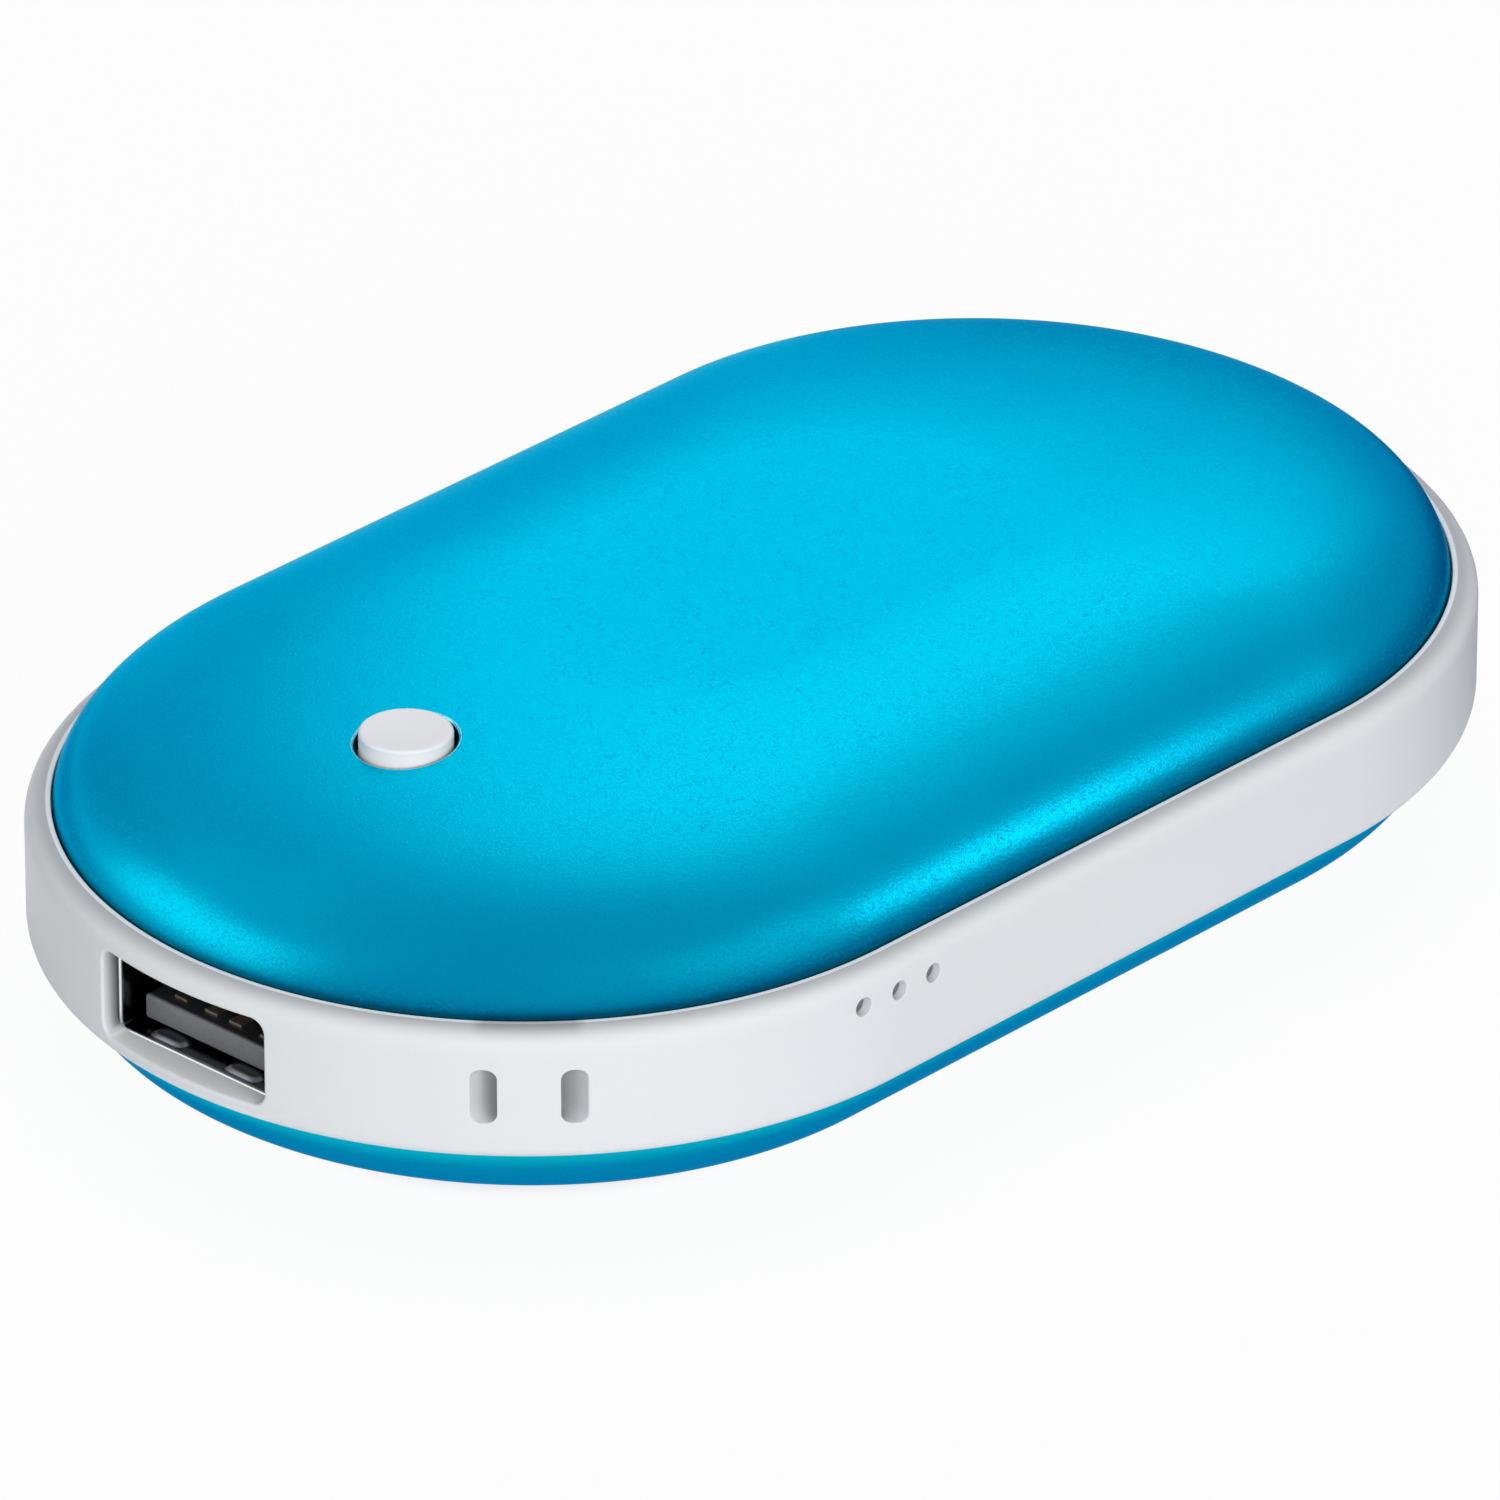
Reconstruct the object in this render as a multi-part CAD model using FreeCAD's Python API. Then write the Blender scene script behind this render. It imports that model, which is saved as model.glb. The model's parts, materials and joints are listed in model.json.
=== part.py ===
import FreeCAD
import Part
import math
import os

# Rechargeable hand warmer, in millimetres.
# X runs along the case with the USB end at -X, Y across it with the lamps at -Y, Z up.
# Pieces are drawn about the middle plane of the band and lifted at the end,
# so that the case rests on z = 0.

# Whole case
body_length = 100.0
body_width = 60.0
body_thickness = 25.0

# Pale band round the middle
band_height = 8.7
band_wall = 2.6
band_edge_radius = 1.5
ledge_width = 1.4
ledge_thickness = 1.2

# Domed covers, glued into rebates of the band
cover_inset = 1.65
cover_wall = 0.9
cover_skirt = 0.8
cover_seat_gap = 0.05
glue_thickness = 0.15
crown_half_length = 18.4
crown_half_width = 10.1
crown_taper_power = 5.5
dome_rings = 10

# Power button and its guide collar
button_from_end = 19.6
button_radius = 2.82
button_hole_gap = 0.23
button_rise = 0.65
button_edge_radius = 0.4
button_travel = 0.3
flange_radius = 3.8
flange_thickness = 0.7
flange_cover_gap = 0.35
guide_gap = 0.15
guide_wall = 1.25
guide_overlap = 0.3
guide_glue = 0.05

# USB-A power outlet
usb_center_z = 0.0
usb_aperture_side_gap = 0.05
usb_aperture_lap = 0.2
usb_aperture_corner = 0.9
usb_recess = 1.9
usb_width = 13.1
usb_height = 6.1
usb_depth = 14.0
usb_sheet = 0.3
usb_corner = 0.6
usb_fit_gap = 0.1
usb_tongue_side_gap = 0.7
usb_tongue_thickness = 1.56
usb_tongue_drop = 1.57
usb_tongue_recess = 1.3
usb_block_depth = 3.0
usb_contact_width = 1.0
usb_contact_thickness = 0.15
usb_contact_recess = 0.9
usb_contact_rows = (-3.5, -1.0, 1.0, 3.5)
usb_spring_spacing = 6.1
usb_spring_width = 2.6
usb_spring_radius = 2.4
usb_spring_rise = 0.3
usb_spring_recess = 1.3

# Charging inlet, on the side that the photograph does not show
charge_from_end = 29.5
charge_width = 7.5
charge_foot_width = 5.6
charge_height = 2.6
charge_side_height = 1.5
charge_depth = 5.2
charge_recess = 0.7
charge_sheet = 0.25
charge_gap = 0.12
charge_block_depth = 1.6
charge_tongue_width = 3.8
charge_tongue_thickness = 0.7
charge_tongue_recess = 0.8

# Three lamps and their clear light guide
lamp_from_end = 29.9
lamp_pitch = 2.9
lamp_z = 2.07
lamp_hole_radius = 0.6
lamp_recess = 0.6
light_gap = 0.04
light_bar_gap = 0.5
light_bar_depth = 1.0
light_bar_height = 1.4
light_bar_margin = 1.2
led_width = 1.6
led_depth = 1.0
led_drop = 0.6
led_gap = 0.1

# Strap loop: a curved channel behind a narrow bridge in the band
strap_angle = 43.75
strap_axis_out = 1.6
strap_outer_radius = 3.9
strap_inner_radius = 2.52
strap_height = 3.5
strap_corner = 0.6
strap_z = 0.15
strap_wall = 0.8

# Chassis, its screws and the bosses in the band
chassis_thickness = 1.2
chassis_gap = 0.15
bay_gap = 0.4
chassis_screw_front = 44.0
chassis_screw_back = 30.0
chassis_screw_inset = 2.4
boss_radius = 2.6
boss_height = 2.6
boss_floor = 0.4
chassis_screw_radius = 1.0
chassis_screw_length = 3.2
chassis_head_radius = 1.8
chassis_head_height = 1.1
screw_gap = 0.05
screw_pass_gap = 0.15
screw_end_gap = 0.2

# Circuit board and what is soldered to it
board_thickness = 1.2
board_gap = 0.4
board_length = 32.5
post_radius = 2.2
post_front_from_end = 11.0
post_front_y = 13.0
post_back_from_edge = 3.5
post_back_inset = 8.4
board_screw_radius = 0.8
board_screw_length = 3.6
board_head_radius = 1.5
board_head_height = 0.9
chip_length = 5.0
chip_width = 4.0
chip_height = 1.2
chip_from_edge = 9.0
chip_y = 11.0
coil_radius = 3.0
coil_height = 2.8
coil_from_edge = 9.0
coil_y = -11.0
capacitor_length = 1.6
capacitor_width = 3.2
capacitor_height = 1.4
capacitor_pitch = 3.0
capacitor_count = 3
capacitor_from_end = 16.0
capacitor_y = -14.0

# Tact switch under the button
switch_size = 6.0
switch_reach = 0.8
switch_plate_thickness = 0.25
switch_floor = 0.5
switch_well_radius = 2.3
switch_collar_radius = 2.1
switch_collar_thickness = 0.5
switch_stem_radius = 1.7
switch_stem_gap = 0.15
switch_collar_gap = 0.05
switch_foot_radius = 0.9
switch_dome_radius = 2.0
switch_dome_rise = 0.45
switch_dome_sheet = 0.1
switch_dome_gap = 0.02
switch_lead_width = 0.8
switch_lead_length = 1.0
switch_lead_thickness = 0.3
switch_lead_spacing = 4.5

# Pouch cells, their tape and tabs
cell_board_gap = 2.5
cell_end_gap = 14.0
cell_side_gap = 11.0
cell_corner = 3.0
tape_thickness = 0.2
tape_margin = 2.0
tab_width = 4.0
tab_spacing = 16.0
tab_thickness = 0.2
tab_lap = 3.0
tab_standoff = 1.2
tab_drop = 2.0

# Film heaters, foam, leads and sensors
heater_glue = 0.05
heater_thickness = 0.3
heater_guide_gap = 2.0
heater_end_gap = 13.0
heater_side_gap = 10.0
heater_corner = 8.0
foam_thickness = 4.5
foam_gap = 0.1
foam_margin = 2.0
lead_radius = 0.6
lead_from_edge = 1.2
lead_spacing = 4.4
lead_shift = 1.0
lead_slot_side_gap = 1.0
lead_slot_margin = 1.4
lead_slot_cell_gap = 0.5
sensor_y = 5.0
sensor_radius = 0.9
sensor_height = 1.4
sensor_leg_radius = 0.2
sensor_leg_spacing = 1.0

# Planes and lines that the pieces share
half_length = body_length / 2
half_width = body_width / 2
crown_z = body_thickness / 2
band_top = band_height / 2
rim_z = band_top - cover_skirt
inner_half_length = half_length - band_wall
inner_half_width = half_width - band_wall
cover_half_length = half_length - cover_inset
cover_half_width = half_width - cover_inset
end_center_x = half_length - half_width
chassis_top = chassis_thickness / 2
chassis_bottom = -chassis_thickness / 2
board_bottom = usb_center_z + usb_height / 2
board_top = board_bottom + board_thickness
board_edge_x = board_length + board_gap - inner_half_length
heater_top = crown_z - cover_wall - heater_glue
heater_bottom = heater_top - heater_thickness
cell_front_x = board_edge_x + cell_board_gap
cell_back_x = half_length - cell_end_gap
cell_half_width = half_width - cell_side_gap
cell_top = heater_bottom - foam_gap - foam_thickness
cell_bottom = chassis_top + tape_thickness
button_x = button_from_end - half_length
button_hole_radius = button_radius + button_hole_gap
guide_bore_radius = flange_radius + guide_gap
guide_radius = guide_bore_radius + guide_wall
usb_mouth_x = usb_recess - half_length
usb_back_x = usb_mouth_x + usb_depth
usb_inner_width = usb_width - 2 * usb_sheet
usb_inner_height = usb_height - 2 * usb_sheet
usb_tongue_width = usb_inner_width - 2 * usb_tongue_side_gap
tongue_high = usb_center_z - usb_tongue_drop + usb_tongue_thickness / 2
tongue_low = tongue_high - usb_tongue_thickness
charge_x = charge_from_end - half_length
lamp_x = lamp_from_end - half_length
lamp_columns = [lamp_x + step * lamp_pitch for step in (-1, 0, 1)]
lead_x = board_edge_x - lead_from_edge
strap_turn = math.radians(strap_angle)
strap_reach = half_width + strap_axis_out
strap_x = -end_center_x - strap_reach * math.cos(strap_turn)
strap_y = -strap_reach * math.sin(strap_turn)
chassis_screw_y = inner_half_width - chassis_screw_inset
chassis_screws_x = (chassis_screw_front - half_length, half_length - chassis_screw_back)
chassis_screw_places = [(x, side * chassis_screw_y) for x in chassis_screws_x for side in (-1, 1)]
post_front_x = post_front_from_end - half_length
post_back_x = board_edge_x - post_back_from_edge
post_back_y = inner_half_width - post_back_inset
post_places = [(post_front_x, side * post_front_y) for side in (-1, 1)]
post_places += [(post_back_x, side * post_back_y) for side in (-1, 1)]


def at(x, y, z):
    return FreeCAD.Vector(x, y, z)


def side_wall_y(x, inset):
    """How far out the case's side lies at a place along it, moved in by an inset."""
    past = max(0.0, abs(x) - end_center_x)
    return math.sqrt((half_width - inset) ** 2 - past ** 2)


def block(x0, x1, y0, y1, z0, z1):
    """Box between two corners."""
    return Part.makeBox(x1 - x0, y1 - y0, z1 - z0, at(x0, y0, z0))


def disc(x, y, z0, z1, radius):
    """Upright cylinder."""
    return Part.makeCylinder(radius, z1 - z0, at(x, y, z0), at(0, 0, 1))


def upright_edges(shape):
    """Edges that run straight up."""
    picked = []
    for edge in shape.Edges:
        box = edge.BoundBox
        if box.XLength + box.YLength < 1e-6:
            picked.append(edge)
    return picked


def rounded_block(x0, x1, y0, y1, z0, z1, radius):
    """Box with its four upright edges rounded."""
    shape = block(x0, x1, y0, y1, z0, z1)
    return shape.makeFillet(radius, upright_edges(shape))


def stadium(half_long, half_wide, z):
    """Level outline with straight sides and round ends, each end in two quarter arcs."""
    straight = half_long - half_wide
    slant = half_wide * math.sqrt(0.5)
    tip = straight + half_wide
    bend = straight + slant
    edges = [
        Part.Arc(at(straight, -half_wide, z), at(bend, -slant, z), at(tip, 0, z)).toShape(),
        Part.Arc(at(tip, 0, z), at(bend, slant, z), at(straight, half_wide, z)).toShape(),
        Part.LineSegment(at(straight, half_wide, z), at(-straight, half_wide, z)).toShape(),
        Part.Arc(at(-straight, half_wide, z), at(-bend, slant, z), at(-tip, 0, z)).toShape(),
        Part.Arc(at(-tip, 0, z), at(-bend, -slant, z), at(-straight, -half_wide, z)).toShape(),
        Part.LineSegment(at(-straight, -half_wide, z), at(straight, -half_wide, z)).toShape(),
    ]
    return Part.Wire(edges)


def stadium_slab(half_long, half_wide, z0, z1):
    """Slab with a stadium outline."""
    return Part.Face(stadium(half_long, half_wide, z0)).extrude(at(0, 0, z1 - z0))


def dome_ring(height_share, inset):
    """Half length and half width of the dome's level outline at a share of its height."""
    spread = math.sqrt(max(0.0, 1 - height_share ** 2))
    wide = crown_half_width + (cover_half_width - inset - crown_half_width) * spread
    crown_straight = crown_half_length - crown_half_width
    edge_straight = cover_half_length - cover_half_width
    taper = 1 - height_share ** crown_taper_power
    return wide + crown_straight + (edge_straight - crown_straight) * taper, wide


def dome_level(height_share, inset):
    """Height of the dome's level outline at a share of its height."""
    return rim_z + (crown_z - inset - rim_z) * height_share


def dome(inset):
    """Solid under the top cover's outer face, moved in by an inset: a quarter ellipse
    from the rim to the flat crown, whose straight sides shorten near the crown."""
    rings = []
    for step in range(dome_rings + 1):
        share = math.sin(math.pi / 2 * step / dome_rings)
        half_long, half_wide = dome_ring(share, inset)
        rings.append(stadium(half_long, half_wide, dome_level(share, inset)))
    return Part.makeLoft(rings, True, False)


def dome_height(x, inset):
    """Height of that face above the long axis, found by halving."""
    low = 0.0
    high = 1.0
    for _ in range(40):
        share = (low + high) / 2
        if dome_ring(share, inset)[0] > abs(x):
            low = share
        else:
            high = share
    return dome_level(low, inset)


def mirrored(shape):
    """The same piece under the middle plane."""
    return shape.mirror(at(0, 0, 0), at(0, 0, 1))


def rounded_bar(x0, x1, y_center, z_center, width, height, radius):
    """Bar along X with its four long edges rounded."""
    shape = block(x0, x1, y_center - width / 2, y_center + width / 2,
                  z_center - height / 2, z_center + height / 2)
    long_edges = [edge for edge in shape.Edges if edge.BoundBox.XLength > 1e-6
                  and edge.BoundBox.YLength + edge.BoundBox.ZLength < 1e-6]
    return shape.makeFillet(radius, long_edges)


def charge_outline(grow, y0, y1):
    """Bar along Y with the inlet's outline: square at the top, narrower at the foot."""
    half_top = charge_width / 2 + grow
    half_foot = charge_foot_width / 2 + grow
    top = board_bottom + grow
    waist = board_bottom - charge_side_height
    foot = board_bottom - charge_height - grow
    corners = [
        at(charge_x - half_top, y0, top),
        at(charge_x + half_top, y0, top),
        at(charge_x + half_top, y0, waist),
        at(charge_x + half_foot, y0, foot),
        at(charge_x - half_foot, y0, foot),
        at(charge_x - half_top, y0, waist),
        at(charge_x - half_top, y0, top),
    ]
    return Part.Face(Part.makePolygon(corners)).extrude(at(0, y1 - y0, 0))


def strap_channel():
    """Ring-shaped channel about an upright axis just outside the band, with rounded corners."""
    low = strap_z - strap_height / 2
    high = strap_z + strap_height / 2
    ring = disc(strap_x, strap_y, low, high, strap_outer_radius)
    ring = ring.cut(disc(strap_x, strap_y, low, high, strap_inner_radius))
    rims = [edge for edge in ring.Edges if edge.BoundBox.ZLength < 1e-6]
    return ring.makeFillet(strap_corner, rims)


def make_band():
    """Ring with rounded outer edges, a rebate for each cover, a ledge, bosses and openings."""
    slab = stadium_slab(half_length, half_width, -band_top, band_top)
    rims = [edge for edge in slab.Edges if edge.BoundBox.ZLength < 1e-6]
    slab = slab.makeFillet(band_edge_radius, rims)
    hollow = stadium_slab(inner_half_length, inner_half_width, -band_height, band_height)
    rebate = stadium_slab(cover_half_length + cover_seat_gap, cover_half_width + cover_seat_gap,
                          rim_z - glue_thickness, band_height)
    ring = slab.cut([hollow, rebate, mirrored(rebate)])

    ledge_bottom = chassis_bottom - ledge_thickness
    ledge = stadium_slab(inner_half_length + ledge_width / 2, inner_half_width + ledge_width / 2,
                         ledge_bottom, chassis_bottom)
    ledge = ledge.cut(stadium_slab(inner_half_length - ledge_width, inner_half_width - ledge_width,
                                   ledge_bottom, chassis_bottom))
    boss_bottom = chassis_bottom - boss_height
    bosses = [disc(x, y, boss_bottom, chassis_bottom, boss_radius) for x, y in chassis_screw_places]
    strap_boss = disc(strap_x, strap_y, strap_z - strap_height / 2 - strap_wall,
                      strap_z + strap_height / 2 + strap_wall, strap_outer_radius + strap_wall)
    core = stadium_slab(half_length - band_wall / 2, half_width - band_wall / 2, -band_top, band_top)
    inside = core.common(Part.makeCompound([ledge, strap_boss] + bosses))
    ring = ring.fuse(inside.Solids)

    usb_pocket = rounded_bar(usb_mouth_x, usb_back_x, 0, usb_center_z, usb_width + 2 * usb_fit_gap,
                             usb_height + 2 * usb_fit_gap, usb_corner)
    usb_opening = rounded_bar(-half_length - band_wall, usb_back_x, 0, usb_center_z,
                              usb_width + 2 * usb_aperture_side_gap, usb_height - 2 * usb_aperture_lap,
                              usb_aperture_corner)
    charge_opening = charge_outline(charge_gap, charge_back_y, half_width + band_wall)
    cuts = [strap_channel(), usb_pocket, usb_opening, charge_opening]
    for x in lamp_columns:
        cuts.append(Part.makeCylinder(lamp_hole_radius, 2 * band_wall,
                                      at(x, -half_width - band_wall / 2, lamp_z), at(0, 1, 0)))
    for x, y in chassis_screw_places:
        cuts.append(disc(x, y, boss_bottom + boss_floor, chassis_top, chassis_screw_radius + screw_gap))
    return ring.cut(cuts).removeSplitter()


def make_chassis():
    """Plate on the band's ledge, with bays for the sockets and posts for the board."""
    plate = stadium_slab(inner_half_length - chassis_gap, inner_half_width - chassis_gap,
                         chassis_bottom, chassis_top)
    posts = [disc(x, y, chassis_top, board_bottom, post_radius) for x, y in post_places]
    usb_half = usb_width / 2 + bay_gap
    charge_half = charge_width / 2 + bay_gap
    slot_side = (tab_spacing + tab_width) / 2 + lead_slot_side_gap
    cuts = [
        block(-body_length, usb_back_x + bay_gap, -usb_half, usb_half, -band_height, band_height),
        block(charge_x - charge_half, charge_x + charge_half, charge_back_y - bay_gap, body_width,
              -band_height, band_height),
        disc(strap_x, strap_y, -band_height, band_height, strap_outer_radius + strap_wall + bay_gap),
        block(lead_x - lead_shift - lead_slot_margin, cell_front_x - lead_slot_cell_gap,
              -slot_side, slot_side, -band_height, band_height),
    ]
    pass_radius = chassis_screw_radius + screw_pass_gap
    cuts += [disc(x, y, chassis_bottom, chassis_top, pass_radius) for x, y in chassis_screw_places]
    pilot_end = board_top - board_screw_length - screw_end_gap
    cuts += [disc(x, y, pilot_end, board_bottom, board_screw_radius + screw_gap) for x, y in post_places]
    return plate.fuse(posts).cut(cuts).removeSplitter()


def make_glue():
    """Bead between the cover's rim and the floor of the band's rebate."""
    bead = stadium_slab(cover_half_length, cover_half_width, rim_z - glue_thickness, rim_z)
    return bead.cut(stadium_slab(cover_half_length - cover_wall, cover_half_width - cover_wall,
                                 rim_z - glue_thickness, rim_z))


def make_heater():
    """Film under the cover, cut to a rounded outline clear of the button's guide."""
    film = dome(cover_wall + heater_glue).cut(dome(cover_wall + heater_glue + heater_thickness))
    side = half_width - heater_side_gap
    outline = rounded_block(button_x + guide_radius + heater_guide_gap, half_length - heater_end_gap,
                            -side, side, rim_z, crown_z, heater_corner)
    return film.common(outline)


def make_foam():
    """Pad that fills the room between the cell and the heater."""
    side = cell_half_width - foam_margin
    pad = rounded_block(cell_front_x + foam_margin, cell_back_x - foam_margin, -side, side,
                        cell_top, crown_z, cell_corner)
    return pad.common(dome(cover_wall + heater_glue + heater_thickness + foam_gap))


def make_button():
    """Cap with a rounded top edge, and a flange that keeps it under the cover."""
    top = dome_height(button_x, 0) + button_rise
    cap = disc(button_x, 0, flange_bottom, top, button_radius)
    crown_edge = [edge for edge in cap.Edges if edge.BoundBox.ZMin > top - 1e-6]
    cap = cap.makeFillet(button_edge_radius, crown_edge)
    return cap.fuse(disc(button_x, 0, flange_bottom, flange_top, flange_radius)).removeSplitter()


def make_guide():
    """Collar glued under the cover round the button's flange."""
    low = flange_bottom - button_travel - guide_overlap
    collar = disc(button_x, 0, low, crown_z, guide_radius)
    collar = collar.cut(disc(button_x, 0, low, crown_z, guide_bore_radius))
    return collar.common(dome(cover_wall + guide_glue))


def make_usb_shell():
    """Folded steel socket, closed at the back, with two sprung bumps above and two below."""
    shell = rounded_bar(usb_mouth_x, usb_back_x, 0, usb_center_z, usb_width, usb_height, usb_corner)
    shell = shell.cut(rounded_bar(usb_mouth_x, usb_back_x - usb_sheet, 0, usb_center_z, usb_inner_width,
                                  usb_inner_height, usb_corner - usb_sheet))
    sheet_middle = rounded_bar(usb_mouth_x, usb_back_x, 0, usb_center_z, usb_width - usb_sheet,
                               usb_height - usb_sheet, usb_corner)
    bumps = []
    for side in (-1, 1):
        y = side * usb_spring_spacing / 2 - usb_spring_width / 2
        for level in (-1, 1):
            wall = usb_center_z + level * usb_inner_height / 2
            axis_z = wall + level * (usb_spring_radius - usb_spring_rise)
            roll = Part.makeCylinder(usb_spring_radius, usb_spring_width,
                                     at(usb_mouth_x + usb_spring_recess, y, axis_z), at(0, 1, 0))
            bumps.append(roll.common(sheet_middle))
    return shell.fuse(bumps).removeSplitter()


def make_usb_tongue():
    """Block at the back of the socket with the tongue that carries the contacts."""
    back = usb_back_x - usb_sheet
    base = rounded_bar(back - usb_block_depth, back, 0, usb_center_z, usb_inner_width - usb_fit_gap,
                       usb_inner_height - usb_fit_gap, usb_corner - usb_sheet)
    tongue = block(usb_mouth_x + usb_tongue_recess, back - usb_block_depth / 2,
                   -usb_tongue_width / 2, usb_tongue_width / 2, tongue_low, tongue_high)
    return base.fuse(tongue).removeSplitter()


def make_usb_contacts():
    """Four strips on the tongue."""
    front = usb_mouth_x + usb_tongue_recess + usb_contact_recess
    back = usb_back_x - usb_sheet - usb_block_depth
    half = usb_contact_width / 2
    strips = [block(front, back, y - half, y + half, tongue_high, tongue_high + usb_contact_thickness)
              for y in usb_contact_rows]
    return Part.makeCompound(strips)


def make_charge_shell():
    """Inlet shell under the board, closed at the back."""
    shell = charge_outline(0, charge_back_y, charge_mouth_y)
    return shell.cut(charge_outline(-charge_sheet, charge_back_y + charge_sheet, charge_mouth_y))


def make_charge_tongue():
    """Insulator block and tongue inside the inlet."""
    back = charge_back_y + charge_sheet
    base = charge_outline(-charge_sheet - charge_gap, back, back + charge_block_depth)
    middle = board_bottom - charge_side_height / 2 - charge_tongue_thickness / 2
    tongue = block(charge_x - charge_tongue_width / 2, charge_x + charge_tongue_width / 2,
                   back + charge_block_depth / 2, charge_mouth_y - charge_tongue_recess,
                   middle - charge_tongue_thickness / 2, middle + charge_tongue_thickness / 2)
    return base.fuse(tongue).removeSplitter()


def make_light_guide():
    """Clear bar behind the wall with a stub in each lamp hole."""
    bar = block(lamp_columns[0] - light_bar_margin, lamp_columns[-1] + light_bar_margin,
                light_bar_y, light_bar_y + light_bar_depth,
                lamp_z - light_bar_height / 2, lamp_z + light_bar_height / 2)
    root = light_bar_y + light_bar_depth / 2
    stubs = [Part.makeCylinder(lamp_hole_radius - light_gap, root + side_wall_y(x, lamp_recess),
                               at(x, root, lamp_z), at(0, -1, 0)) for x in lamp_columns]
    return bar.fuse(stubs).removeSplitter()


def make_leds():
    """Side-facing lamps on the underside of the board, behind the light guide."""
    front = light_bar_y + light_bar_depth + led_gap
    lamps = [block(x - led_width / 2, x + led_width / 2, front, front + led_depth,
                   lamp_z - led_drop, board_bottom) for x in lamp_columns]
    return Part.makeCompound(lamps)


def make_board():
    """Board with the round end's outline and its four screw holes."""
    half_long = inner_half_length - board_gap
    half_wide = inner_half_width - board_gap
    board = stadium_slab(half_long, half_wide, board_bottom, board_top)
    board = board.common(block(-body_length, board_edge_x, -body_width, body_width, board_bottom, board_top))
    return board.cut([disc(x, y, board_bottom, board_top, board_screw_radius + screw_pass_gap)
                      for x, y in post_places])


def make_capacitors():
    """Row of capacitors on the board."""
    x = capacitor_from_end - half_length
    row = []
    for step in range(capacitor_count):
        y = capacitor_y + (step - (capacitor_count - 1) / 2) * capacitor_pitch
        row.append(block(x - capacitor_width / 2, x + capacitor_width / 2, y - capacitor_length / 2,
                         y + capacitor_length / 2, board_top, board_top + capacitor_height))
    return Part.makeCompound(row)


def make_coil():
    """Round power coil: two flanges with a narrower drum between them."""
    x = board_edge_x - coil_from_edge
    lip = coil_height / 4
    top = board_top + coil_height
    drum = disc(x, coil_y, board_top, top, coil_radius - lip)
    lips = [disc(x, coil_y, board_top, board_top + lip, coil_radius),
            disc(x, coil_y, top - lip, top, coil_radius)]
    return drum.fuse(lips).removeSplitter()


def make_switch_base():
    """Switch body with a round well."""
    half = switch_size / 2
    body = block(button_x - half, button_x + half, -half, half, board_top, switch_top)
    return body.cut(disc(button_x, 0, well_floor, switch_top, switch_well_radius))


def make_switch_plate():
    """Steel plate that keeps the plunger in."""
    half = switch_size / 2
    top = switch_top + switch_plate_thickness
    plate = block(button_x - half, button_x + half, -half, half, switch_top, top)
    return plate.cut(disc(button_x, 0, switch_top, top, switch_stem_radius + switch_stem_gap))


def make_plunger():
    """Plunger: stem up to the button's flange, collar under the plate, foot on the snap dome."""
    collar_top = switch_top - switch_collar_gap
    collar_low = collar_top - switch_collar_thickness
    foot_low = well_floor + switch_dome_rise + switch_dome_gap
    stem = disc(button_x, 0, collar_low, flange_bottom, switch_stem_radius)
    collar = disc(button_x, 0, collar_low, collar_top, switch_collar_radius)
    foot = disc(button_x, 0, foot_low, collar_top, switch_foot_radius)
    return stem.fuse([collar, foot]).removeSplitter()


def make_snap_dome():
    """Thin sprung cap on the floor of the well."""
    ball = (switch_dome_radius ** 2 + switch_dome_rise ** 2) / (2 * switch_dome_rise)
    center = at(button_x, 0, well_floor + switch_dome_rise - ball)
    cap = Part.makeSphere(ball, center).cut(Part.makeSphere(ball - switch_dome_sheet, center))
    return cap.common(disc(button_x, 0, well_floor, switch_top, switch_well_radius))


def make_switch_leads():
    """Four soldered feet beside the switch."""
    half = switch_size / 2
    feet = []
    for end in (-1, 1):
        near = button_x + end * half
        far = near + end * switch_lead_length
        for side in (-1, 1):
            y = side * switch_lead_spacing / 2
            feet.append(block(min(near, far), max(near, far), y - switch_lead_width / 2,
                              y + switch_lead_width / 2, board_top, board_top + switch_lead_thickness))
    return Part.makeCompound(feet)


def make_cell():
    """Pouch cell with rounded corners, on its tape."""
    return rounded_block(cell_front_x, cell_back_x, -cell_half_width, cell_half_width,
                         cell_bottom, cell_top, cell_corner)


def make_tape():
    """Double-sided tape between the chassis and a cell."""
    side = cell_half_width - tape_margin
    return block(cell_front_x + tape_margin, cell_back_x - tape_margin, -side, side,
                 chassis_top, cell_bottom)


def make_upper_tabs():
    """Tabs of the upper cell, straight onto the top of the board."""
    tabs = []
    for side in (-1, 1):
        y = side * tab_spacing / 2
        tabs.append(block(board_edge_x - tab_lap, cell_front_x, y - tab_width / 2, y + tab_width / 2,
                          board_top, board_top + tab_thickness))
    return Part.makeCompound(tabs)


def make_lower_tabs():
    """Tabs of the lower cell, bent up through the chassis and under the board."""
    tabs = []
    riser_front = cell_front_x - tab_standoff
    leave_z = -cell_bottom - tab_drop
    for side in (-1, 1):
        low = side * tab_spacing / 2 - tab_width / 2
        high = low + tab_width
        foot = block(riser_front, cell_front_x, low, high, leave_z, leave_z + tab_thickness)
        riser = block(riser_front, riser_front + tab_thickness, low, high, leave_z, board_bottom)
        lap = block(board_edge_x - tab_lap, riser_front + tab_thickness, low, high,
                    board_bottom - tab_thickness, board_bottom)
        tabs.append(foot.fuse([riser, lap]).removeSplitter())
    return Part.makeCompound(tabs)


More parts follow.
